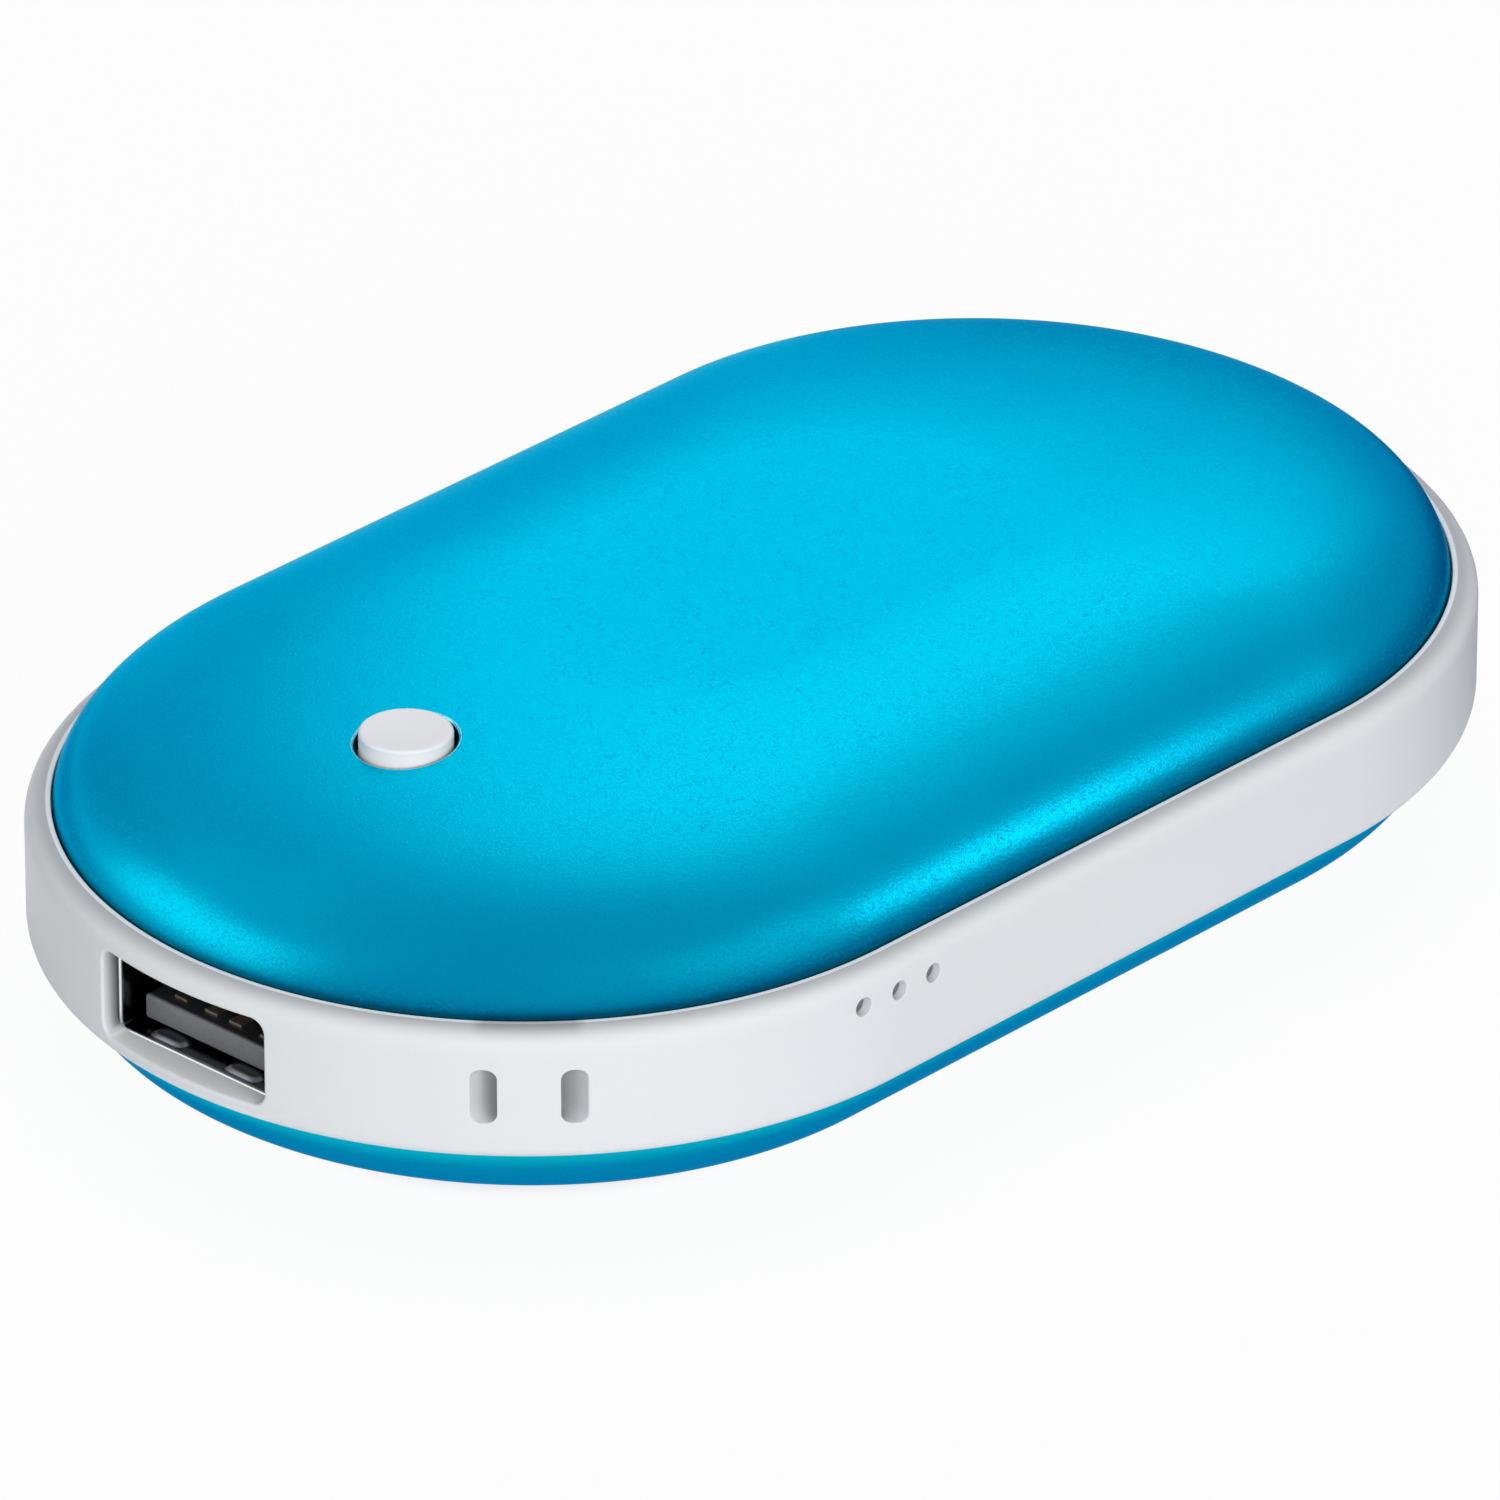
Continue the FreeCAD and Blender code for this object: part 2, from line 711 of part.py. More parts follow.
def tube(points, radius):
    """Round wire along straight runs that are joined by tangent arcs."""
    edges = []
    start = points[0]
    for before, corner, after in zip(points, points[1:], points[2:]):
        come = (corner - before).normalize()
        leave = (after - corner).normalize()
        turn = come.getAngle(leave)
        trim = 0.45 * min((corner - before).Length, (after - corner).Length)
        bend = trim / math.tan(turn / 2)
        first = corner - come * trim
        last = corner + leave * trim
        inward = (leave - come).normalize()
        middle = corner + inward * (bend / math.cos(turn / 2) - bend)
        edges.append(Part.LineSegment(start, first).toShape())
        edges.append(Part.Arc(first, middle, last).toShape())
        start = last
    edges.append(Part.LineSegment(start, points[-1]).toShape())
    path = Part.Wire(edges)
    ring = Part.Wire(Part.makeCircle(radius, points[0], points[1] - points[0]))
    return path.makePipeShell([ring], True, False)


def make_leads(board_z, film_z, room):
    """Pair of wires from the board's pads to the film, trimmed to the room inside the film."""
    wires = []
    third = (film_z - board_z) / 3
    for side in (-1, 1):
        y = side * lead_spacing / 2
        wire = tube([at(lead_x - lead_shift, y, board_z),
                     at(lead_x - lead_shift, y, board_z + third),
                     at(lead_x, y, film_z - third),
                     at(lead_x, y, film_z)], lead_radius)
        wires.append(wire.common(room))
    return Part.makeCompound(wires)


def make_sensor(board_z, film_z, room):
    """Bead against the film on two legs from the board, trimmed to the room inside the film."""
    toward = math.copysign(sensor_height, board_z - film_z)
    low = min(film_z, film_z + toward)
    bead = disc(lead_x, sensor_y, low, low + sensor_height, sensor_radius)
    legs = []
    inside = film_z + toward / 2
    for side in (-1, 1):
        y = sensor_y + side * sensor_leg_spacing / 2
        legs.append(disc(lead_x, y, min(board_z, inside), max(board_z, inside), sensor_leg_radius))
    return bead.fuse(legs).removeSplitter().common(room)


def make_chassis_screws():
    """Screws through the chassis into the band's bosses."""
    screws = []
    for x, y in chassis_screw_places:
        shank = disc(x, y, chassis_top - chassis_screw_length, chassis_top, chassis_screw_radius)
        head = disc(x, y, chassis_top, chassis_top + chassis_head_height, chassis_head_radius)
        screws.append(shank.fuse(head).removeSplitter())
    return Part.makeCompound(screws)


def make_board_screws():
    """Screws through the board into the chassis posts."""
    screws = []
    for x, y in post_places:
        shank = disc(x, y, board_top - board_screw_length, board_top, board_screw_radius)
        head = disc(x, y, board_top, board_top + board_head_height, board_head_radius)
        screws.append(shank.fuse(head).removeSplitter())
    return Part.makeCompound(screws)


# Places of the charging inlet, the light guide, the button's flange and the switch
charge_mouth_y = side_wall_y(charge_x, charge_recess)
charge_back_y = charge_mouth_y - charge_depth
light_bar_reach = lamp_pitch + light_bar_margin
light_bar_y = light_bar_gap - min(side_wall_y(lamp_x - light_bar_reach, band_wall),
                                  side_wall_y(lamp_x + light_bar_reach, band_wall))
flange_top = dome_height(button_x - flange_radius, cover_wall) - flange_cover_gap
flange_bottom = flange_top - flange_thickness
switch_top = flange_bottom - switch_reach - switch_plate_thickness
well_floor = board_top + switch_floor

plain_cover = dome(0).cut(dome(cover_wall))
button_hole = disc(button_x, 0, 0, body_thickness, button_hole_radius)
glue = make_glue()
heater = make_heater()
foam = make_foam()
cell = make_cell()
tape = make_tape()
above = dome(cover_wall + heater_glue + heater_thickness)
film_room = above.fuse([mirrored(above), stadium_slab(inner_half_length, inner_half_width, -rim_z, rim_z)])

nodes = {
    "top_cover": plain_cover.cut(button_hole),
    "bottom_cover": mirrored(plain_cover),
    "mid_band": make_band(),
    "top_adhesive": glue,
    "bottom_adhesive": mirrored(glue),
    "chassis": make_chassis(),
    "chassis_screws": make_chassis_screws(),
    "top_heater": heater,
    "bottom_heater": mirrored(heater),
    "top_insulation": foam,
    "bottom_insulation": mirrored(foam),
    "upper_cell": cell,
    "lower_cell": mirrored(cell),
    "upper_cell_tape": tape,
    "lower_cell_tape": mirrored(tape),
    "upper_cell_tabs": make_upper_tabs(),
    "lower_cell_tabs": make_lower_tabs(),
    "main_board": make_board(),
    "board_screws": make_board_screws(),
    "control_chip": block(board_edge_x - chip_from_edge - chip_length / 2,
                          board_edge_x - chip_from_edge + chip_length / 2,
                          chip_y - chip_width / 2, chip_y + chip_width / 2,
                          board_top, board_top + chip_height),
    "boost_coil": make_coil(),
    "capacitors": make_capacitors(),
    "status_leds": make_leds(),
    "light_guide": make_light_guide(),
    "usb_shell": make_usb_shell(),
    "usb_tongue": make_usb_tongue(),
    "usb_contacts": make_usb_contacts(),
    "charge_shell": make_charge_shell(),
    "charge_tongue": make_charge_tongue(),
    "power_button": make_button(),
    "button_guide": make_guide(),
    "switch_base": make_switch_base(),
    "switch_plate": make_switch_plate(),
    "switch_plunger": make_plunger(),
    "switch_dome": make_snap_dome(),
    "switch_leads": make_switch_leads(),
    "top_heater_leads": make_leads(board_top, heater_bottom, film_room),
    "bottom_heater_leads": make_leads(board_bottom, -heater_bottom, film_room),
    "top_sensor": make_sensor(board_top, heater_bottom, film_room),
    "bottom_sensor": make_sensor(board_bottom, -heater_bottom, film_room),
}

os.makedirs("parts", exist_ok=True)
for name, shape in nodes.items():
    placed = shape.copy()
    placed.translate(at(0, 0, crown_z))
    placed.exportStep("parts/" + name + ".step")
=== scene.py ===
"""Looks of the rechargeable hand warmer: two blue metal covers, a pale band, a button and a socket.

Lengths are in millimetres until a mesh is filled. X runs along the case with the socket at -X,
Y across it with the lamps at -Y, and Z up. Heights are counted from the middle of the band.
"""
import json

import bmesh
import bpy
import numpy as np
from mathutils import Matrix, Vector


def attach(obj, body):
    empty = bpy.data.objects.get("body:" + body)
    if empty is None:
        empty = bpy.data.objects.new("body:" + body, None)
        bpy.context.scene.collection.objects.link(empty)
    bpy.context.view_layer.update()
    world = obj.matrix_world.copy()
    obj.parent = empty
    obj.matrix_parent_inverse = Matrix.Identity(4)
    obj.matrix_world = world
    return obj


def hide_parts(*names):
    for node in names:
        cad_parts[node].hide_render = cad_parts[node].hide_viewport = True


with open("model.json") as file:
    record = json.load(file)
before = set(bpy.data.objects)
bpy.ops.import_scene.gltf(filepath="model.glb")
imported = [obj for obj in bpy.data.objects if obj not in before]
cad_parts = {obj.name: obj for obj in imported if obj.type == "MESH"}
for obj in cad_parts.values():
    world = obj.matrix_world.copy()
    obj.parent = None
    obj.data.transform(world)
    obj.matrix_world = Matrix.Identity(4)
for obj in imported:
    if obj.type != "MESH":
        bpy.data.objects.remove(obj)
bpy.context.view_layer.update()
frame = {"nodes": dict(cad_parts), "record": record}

# Sizes shared with the part's source
lift = 12.5
half_length = 50.0
half_width = 30.0
end_center = half_length - half_width
band_top = 4.35
band_wall = 2.6
band_round = 1.5
rebate_inset = 1.6
rebate_floor = 3.4
cover_half_width = 28.35
cover_straight = 20.0
cover_wall = 0.9
crown_half_width = 10.1
crown_straight = 8.3
crown_z = 12.5
rim_z = 3.55
taper_power = 5.5
button_x = -30.4
button_radius = 2.82
button_rise = 0.65
hole_radius = 3.05
hole_chamfer = 0.17
flange_radius = 3.8
flange_thickness = 0.7
flange_cover_gap = 0.35
usb_mouth_x = -48.1
usb_back_x = -34.1
usb_across = 6.55
usb_up = 3.05
usb_sheet = 0.3
usb_corner = 0.6
tongue_front = -46.8
tongue_half_width = 5.55
lamp_places = (-23.0, -20.1, -17.2)
lamp_z = 2.07
lamp_radius = 0.6
inlet_x = -20.5
inlet_z = 1.75
inlet_half_width = 3.75
inlet_half_height = 1.3
inlet_side_height = 1.5
inlet_foot_half_width = 2.8
inlet_gap = 0.12
strap_turn = np.radians(223.75)
strap_reach = 31.6
strap_z = 0.15

# Springs in the socket, a little shorter and wider than in the part's source
spring_x = usb_mouth_x + 1.2
spring_y = 3.05
spring_half_length = 0.9
spring_half_width = 1.4


# Arrays of points and faces

def ring_places(count, wide, straight):
    """Turn and shift of points spaced evenly round a stadium: the turn goes once round while the
    shift runs from +1 to -1 and back along the two straight sides."""
    knots = np.cumsum([0, np.pi * wide, 2 * straight, np.pi * wide, 2 * straight])
    along = np.linspace(0, knots[-1], count, endpoint=False)
    turn = np.interp(along, knots, np.radians([-90, 90, 90, 270, 270]))
    shift = np.interp(along, knots, [1, 1, -1, -1, 1])
    return turn, shift


def stadium(turn, shift, wide, straight):
    """Level outline: straight length times the shift, plus a circle of half the width."""
    return straight * shift + wide * np.cos(turn), wide * np.sin(turn) + 0 * straight


def dome_ring(share, inset):
    """Half width, straight half length and height of the cover's level outline at a share of its
    height: the width follows a quarter ellipse, the straight sides shorten as a high power."""
    spread = np.sqrt(np.clip(1 - share ** 2, 0, 1))
    wide = crown_half_width + (cover_half_width - inset - crown_half_width) * spread
    straight = crown_straight + (cover_straight - crown_straight) * (1 - share ** taper_power)
    return wide, straight, rim_z + (crown_z - inset - rim_z) * share


def dome_height(x, y, inset):
    """Height of the cover over a place in plan, found by halving the share of the height."""
    low = np.zeros(np.broadcast(x, y).shape)
    high = np.ones_like(low)
    for _ in range(44):
        share = (low + high) / 2
        wide, straight, _level = dome_ring(share, inset)
        inside = np.hypot(np.maximum(np.abs(x) - straight, 0), y) < wide
        low = np.where(inside, share, low)
        high = np.where(inside, high, share)
    return dome_ring(low, inset)[2]


def strip_quads(rows):
    """Quads between each row of vertex numbers and the next; every row is a closed loop."""
    rows = np.asarray(rows)
    beside = np.roll(rows, -1, axis=1)
    return np.stack([rows[:-1], beside[:-1], beside[1:], rows[1:]], axis=-1).reshape(-1, 4)


def fan(center, loop):
    """Triangles from one vertex to a closed loop of vertices."""
    return np.stack([np.full_like(loop, center), loop, np.roll(loop, -1)], axis=-1)


def fill_mesh(name, points, faces, sharp=35, turned=False):
    """Mesh from points in millimetres above the band's middle, with doubles merged, faces turned
    outwards unless they already are, and smooth shading up to a sharp angle."""
    mesh = bpy.data.meshes.new(name)
    placed = (np.asarray(points) + [0, 0, lift]) * 0.001
    mesh.from_pydata(placed.tolist(), [], [face for block in faces for face in block.tolist()])
    work = bmesh.new()
    work.from_mesh(mesh)
    bmesh.ops.remove_doubles(work, verts=work.verts, dist=1e-7)
    if not turned:
        bmesh.ops.recalc_face_normals(work, faces=work.faces)
    work.to_mesh(mesh)
    work.free()
    mesh.polygons.foreach_set("use_smooth", np.ones(len(mesh.polygons), dtype=bool))
    mesh.set_sharp_from_angle(angle=np.radians(sharp))
    return mesh


def add_piece(name, mesh, body, slot, finish, *nodes):
    """Object at the origin that rides on a body and stands for some nodes."""
    piece = bpy.data.objects.new(name, mesh)
    bpy.context.collection.objects.link(piece)
    mesh.materials.append(finish)
    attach(piece, body)
    if nodes:
        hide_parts(*nodes)


def closed_rows(rows, first_pole=None, last_pole=None):
    """Points and faces of a surface whose rows are closed loops, each open end shut by a pole, or
    the last row joined to the first where there are no poles."""
    rows = np.asarray(rows)
    count, around = rows.shape[:2]
    numbers = np.arange(count * around).reshape(count, around)
    points = [rows.reshape(-1, 3)]
    if first_pole is None:
        return points[0], [strip_quads(np.vstack([numbers, numbers[:1]]))]
    points += [[first_pole], [last_pole]]
    pole = count * around
    faces = [strip_quads(numbers), fan(pole, numbers[0]), fan(pole + 1, numbers[-1])]
    return np.concatenate(points), faces


# Covers

def cover_rows(turn, shift, shares, inset):
    """Rings of the cover's face at the given shares of its height."""
    wide, straight, level = dome_ring(np.asarray(shares)[:, None], inset)
    x, y = stadium(turn, shift, wide, straight)
    return np.stack([x, y, level + 0 * x], axis=-1)


def plan_rows(start, end, steps, inset):
    """Rows on the cover's face whose plan runs straight from one loop to another."""
    plan = start + (end - start) * np.asarray(steps)[:, None, None]
    return np.dstack([plan, dome_height(plan[..., 0], plan[..., 1], inset)[..., None]])


def top_cover():
    """Shell with the button's hole: down the hole's wall, out over the inner face to the rim, and
    back over the outer face to a chamfer at the hole. Rows are closed loops round the hole."""
    around = 520
    share = 0.75
    turn, shift = ring_places(around, *dome_ring(share, 0)[:2])
    ring = np.stack(stadium(turn, shift, *dome_ring(share, 0)[:2]), axis=-1)
    inner_ring = np.stack(stadium(turn, shift, *dome_ring(share, cover_wall)[:2]), axis=-1)
    away = np.arctan2(ring[:, 1], ring[:, 0] - button_x)
    circle = np.stack([np.cos(away), np.sin(away)], axis=-1)
    center = np.array([button_x, 0])
    edge = center + circle * hole_radius
    wider = center + circle * (hole_radius + hole_chamfer)
    outer = plan_rows(wider, ring, np.linspace(0, 1, 66) ** 1.25, 0)
    lower = np.arcsin(share) * np.linspace(1, 0, 38)[1:]
    shoulder = cover_rows(turn, shift, np.sin(lower), 0)
    inner_lower = np.arcsin(share) * np.linspace(0, 1, 12)
    inner_shoulder = cover_rows(turn, shift, np.sin(inner_lower), cover_wall)
    inner = plan_rows(inner_ring, edge, np.linspace(0, 1, 22)[1:], cover_wall)
    wall_top = np.column_stack([edge, dome_height(edge[:, 0], edge[:, 1], 0) - hole_chamfer])
    rows = np.concatenate([wall_top[None], outer, shoulder, inner_shoulder, inner])
    return fill_mesh("top_cover_shell", *closed_rows(rows))


def bottom_cover():
    """The same shell upside down and without a hole, closed by a pole inside and outside."""
    around = 480
    turn, shift = ring_places(around, cover_half_width, cover_straight)
    grow = np.linspace(0, 1, 12)[1:, None]
    shares = np.sin(np.linspace(np.pi / 2, 0, 52))[1:]

    def face(inset, crown):
        """Level crown that grows from the pole, and the dome's rings down to the rim."""
        x, y = stadium(turn, shift, grow * crown_half_width, grow * crown_straight)
        flat = np.stack([x, y, np.full_like(x, crown)], axis=-1)
        return np.concatenate([flat, cover_rows(turn, shift, shares, inset)])

    rows = np.concatenate([face(0, crown_z), face(cover_wall, crown_z - cover_wall)[::-1]])
    points, faces = closed_rows(rows, [0, 0, crown_z], [0, 0, crown_z - cover_wall])
    return fill_mesh("bottom_cover_shell", points * [1, 1, -1], faces)


# Outlines of openings

def square_border(across, up):
    """Points round a square from -1 to 1, closer together at its corners."""
    a = -np.cos(np.pi * np.arange(across) / across)
    b = -np.cos(np.pi * np.arange(up) / up)
    one_a, one_b = np.ones(across), np.ones(up)
    sides = [(a, -one_a), (one_b, b), (-a, one_a), (-one_b, -b)]
    return np.concatenate([np.stack(side, axis=-1) for side in sides])


def rounded_outline(border, half_across, half_up, corner):
    """Rounded rectangle: each border point of the unit square is stretched onto the sharp
    rectangle, and then pushed onto the nearest corner arc or side."""
    sharp = border * [half_across, half_up]
    room = np.array([half_across - corner, half_up - corner])
    core = np.clip(sharp, -room, room)
    out = sharp - core
    return core + corner * out / np.linalg.norm(out, axis=1, keepdims=True)


def inlet_outline(border, grow):
    """Charging inlet: six sides, square above and slanted at the foot, met by rays from the middle."""
    corner = np.array([inlet_half_width, inlet_half_height - inlet_side_height])
    fall = corner - [inlet_foot_half_width, -inlet_half_height]
    slant = np.array([fall[1], -fall[0]]) / np.linalg.norm(fall)
    sides = np.array([[1, 0], [-1, 0], [0, 1], [0, -1], slant, slant * [-1, 1]])
    reaches = np.array([inlet_half_width] * 2 + [inlet_half_height] * 2 + [slant @ corner] * 2)
    reaches = reaches + inlet_gap + grow
    ray = border * [inlet_half_width + inlet_gap, inlet_half_height + inlet_gap]
    ray = ray / np.linalg.norm(ray, axis=1, keepdims=True)
    toward = ray @ sides.T
    hits = np.where(toward > 1e-6, reaches / np.maximum(toward, 1e-6), np.inf)
    return ray * hits.min(axis=1, keepdims=True)


def lamp_outline(border, grow):
    """Lamp hole: a rounded rectangle that is all corner, and so a circle."""
    radius = lamp_radius + grow
    return rounded_outline(border, radius, radius, radius)


# Band

def edge_inset(z):
    """How far the band's rounded outer edges fall back at a height."""
    past = np.clip(np.abs(z) - (band_top - band_round), 0, band_round)
    return band_round - np.sqrt(band_round ** 2 - past ** 2)


def end_face(y, z, inset):
    """Point of the socket's end wall over a place across and up."""
    return np.stack([-end_center - np.sqrt((half_width - inset) ** 2 - y ** 2), y, z], axis=-1)


def side_face(x, z, inset, side):
    """Point of a long wall over a place along and up; side is -1 for the lamps' wall."""
    past = np.maximum(np.abs(x) - end_center, 0)
    return np.stack([x, side * np.sqrt((half_width - inset) ** 2 - past ** 2), z], axis=-1)


def corner_face(arc, z, inset):
    """Point of the round end at an arc length from the strap loop's middle."""
    turn = strap_turn + arc / half_width
    reach = half_width - inset
    return np.stack([reach * np.cos(turn) - end_center, reach * np.sin(turn), z], axis=-1)


class Band:
    """Ring grid of columns round the outline and rows round the section, with windows in it."""

    around = 760

    def __init__(self):
        """Section: rounded outer face from below to above, lip, rebate, inner face, and back."""
        bend = np.linspace(0, np.pi / 2, 9)
        flat = np.linspace(-1, 1, 23) * (band_top - band_round)
        top = np.stack([band_round * (1 - np.cos(bend)),
                        band_top - band_round + band_round * np.sin(bend)], axis=-1)
        outer = np.concatenate([top[:0:-1] * [1, -1], np.stack([0 * flat, flat], axis=-1), top[1:]])
        lip = np.array([[1.53, band_top], [1.575, band_top - 0.02], [rebate_inset, band_top - 0.07],
                        [rebate_inset, rebate_floor]])
        # The inner levels follow the outer ones, squeezed between the floors of the rebates
        level = np.interp(outer[::-1, 1], [-band_top, -3.68, 3.68, band_top],
                          [-rebate_floor, -3.26, 3.26, rebate_floor])
        inner = np.stack([np.full_like(level, band_wall), level], axis=-1)
        section = np.concatenate([outer, lip, inner, lip[::-1] * [1, -1]])
        self.levels = outer[:, 1]
        self.inner_row = len(outer) + len(lip)
        self.turn, self.shift = ring_places(self.around, half_width, end_center)
        x, y = stadium(self.turn, self.shift, half_width - section[:, :1], end_center)
        self.grid = np.stack([x, y, section[:, 1:] + 0 * x], axis=-1)
        self.numbers = np.arange(self.grid[..., 0].size).reshape(self.grid.shape[:2])
        self.kept = np.ones(self.numbers.shape, dtype=bool)
        self.points = [self.grid.reshape(-1, 3)]
        self.faces = []
        self.count = self.numbers.size

    def columns(self, place, low, high):
        """First and last column whose coordinate on the outer face lies outside low and high."""
        inside = np.flatnonzero((place > low) & (place < high))
        return inside.min() - 1, inside.max() + 1

    def window(self, columns, low, high, inner=False):
        """Opens a window in the grid and returns the vertex numbers round it."""
        rows = np.flatnonzero((self.levels > low) & (self.levels < high))
        r0, r1 = rows.min() - 1, rows.max() + 1
        c0, c1 = columns
        step = 1 if c1 > c0 else -1
        level = np.arange(r0, r1)
        across = np.arange(c0, c1, step)
        loop_rows = np.concatenate([np.full(across.size, r0), level, np.full(across.size, r1),
                                    level[::-1] + 1])
        loop_columns = np.concatenate([across, np.full(level.size, c1), across[::-1] + step,
                                       np.full(level.size, c0)])
        first, last = r0, r1
        if inner:
            loop_rows = self.inner_row + len(self.levels) - 1 - loop_rows
            first = self.inner_row + len(self.levels) - 1 - r1
            last = self.inner_row + len(self.levels) - 1 - r0
        self.kept[first:last, min(c0, c1):max(c0, c1)] = False
        return self.numbers[loop_rows, loop_columns]

    def at(self, loop):
        """Places of grid vertices."""
        return self.grid.reshape(-1, 3)[loop]

    def join(self, start, rows, end):
        """Adds closed rows between two loops of grid vertices."""
        rows = np.asarray(rows)
        fresh = self.count + np.arange(rows.shape[0] * rows.shape[1]).reshape(rows.shape[:2])
        self.points.append(rows.reshape(-1, 3))
        self.count += fresh.size
        self.faces.append(strip_quads(np.vstack([start[None], fresh, end[None]])))

    def mesh(self):
        """Grid without its windows, and all that was joined to them."""
        wrapped = np.vstack([self.numbers, self.numbers[:1]])
        quads = strip_quads(wrapped).reshape(self.numbers.shape + (4,))
        self.faces.append(quads[self.kept])
        return fill_mesh("band_ring", np.concatenate(self.points), self.faces)


def unit_square(flat):
    """Border places scaled to a square from -1 to 1."""
    low, high = flat.min(axis=0), flat.max(axis=0)
    return (flat - (low + high) / 2) / ((high - low) / 2)


def blend_rows(start, end, count):
    """Rows from one flat loop to another, without the first one."""
    return [start + (end - start) * step for step in np.linspace(0, 1, count + 1)[1:]]


def lip_steps(radius):
    """Growth and depth of a small rounded lip, from the face into the opening."""
    bend = np.linspace(0, np.pi / 2, 6)[1:]
    return np.stack([radius * (1 - np.sin(bend)), radius * (1 - np.cos(bend))], axis=-1)


def add_socket_opening(band):
    """Rounded rectangle in the end wall: lip, straight wall to the socket's mouth, wider pocket."""
    y = band.grid[len(band.levels) // 2, :, 1]
    end = np.where(np.cos(band.turn) < -0.5, y, np.inf)
    columns = band.columns(end, -8.0, 8.0)
    loop = band.window(columns, -3.5, 3.5)
    inner_loop = band.window(columns, -3.5, 3.5, inner=True)
    border = band.at(loop)[:, 1:]
    square = unit_square(border)
    across, up, corner, lip = usb_across + 0.05, usb_up - 0.2, 0.9, 0.22
    rows = [end_face(flat[:, 0], flat[:, 1], edge_inset(flat[:, 1])) for flat in
            blend_rows(border, rounded_outline(square, across + lip, up + lip, corner + lip), 7)]
    for grow, depth in lip_steps(lip):
        flat = rounded_outline(square, across + grow, up + grow, corner + grow)
        rows.append(end_face(flat[:, 0], flat[:, 1], edge_inset(flat[:, 1])) + [depth, 0, 0])
    flat = rounded_outline(square, across, up, corner)
    mouth = np.column_stack([np.full(len(flat), usb_mouth_x), flat])
    rows += blend_rows(rows[-1], mouth, 4)
    pocket = rounded_outline(square, usb_across + 0.1, usb_up + 0.1, usb_corner)
    rows.append(np.column_stack([np.full(len(flat), usb_mouth_x), pocket]))
    inner_border = band.at(inner_loop)[:, 1:]
    rows += [end_face(flat[:, 0], flat[:, 1], band_wall) for flat in
             [pocket] + blend_rows(pocket, inner_border, 3)[:-1]]
    band.join(loop, rows, inner_loop)


def add_side_opening(band, side, x, z, reach, low, high, outline, lip):
    """Straight opening through a long wall: lip, wall, inner face. The window in the grid reaches some
    way along X and from a low to a high level, and the outline grows by a number."""
    along = np.where(np.sin(band.turn) * side > 0.5, band.grid[len(band.levels) // 2, :, 0], np.inf)
    columns = band.columns(along, x - reach, x + reach)
    loop = band.window(columns, low, high)
    inner_loop = band.window(columns, low, high, inner=True)
    border = band.at(loop)[:, [0, 2]]
    square = unit_square(border)
    middle = np.array([x, z])
    rows = [side_face(flat[:, 0], flat[:, 1], edge_inset(flat[:, 1]), side) for flat in
            blend_rows(border, middle + outline(square, lip), 5)]
    for grow, depth in lip_steps(lip):
        flat = middle + outline(square, grow)
        outer = side_face(flat[:, 0], flat[:, 1], edge_inset(flat[:, 1]), side)
        rows.append(outer - [0, side * depth, 0])
    flat = middle + outline(square, 0)
    rows += blend_rows(rows[-1], side_face(flat[:, 0], flat[:, 1], band_wall, side), 5)
    inner_border = band.at(inner_loop)[:, [0, 2]]
    rows += [side_face(flat[:, 0], flat[:, 1], band_wall, side) for flat in
             blend_rows(flat, inner_border, 3)[:-1]]
    band.join(loop, rows, inner_loop)


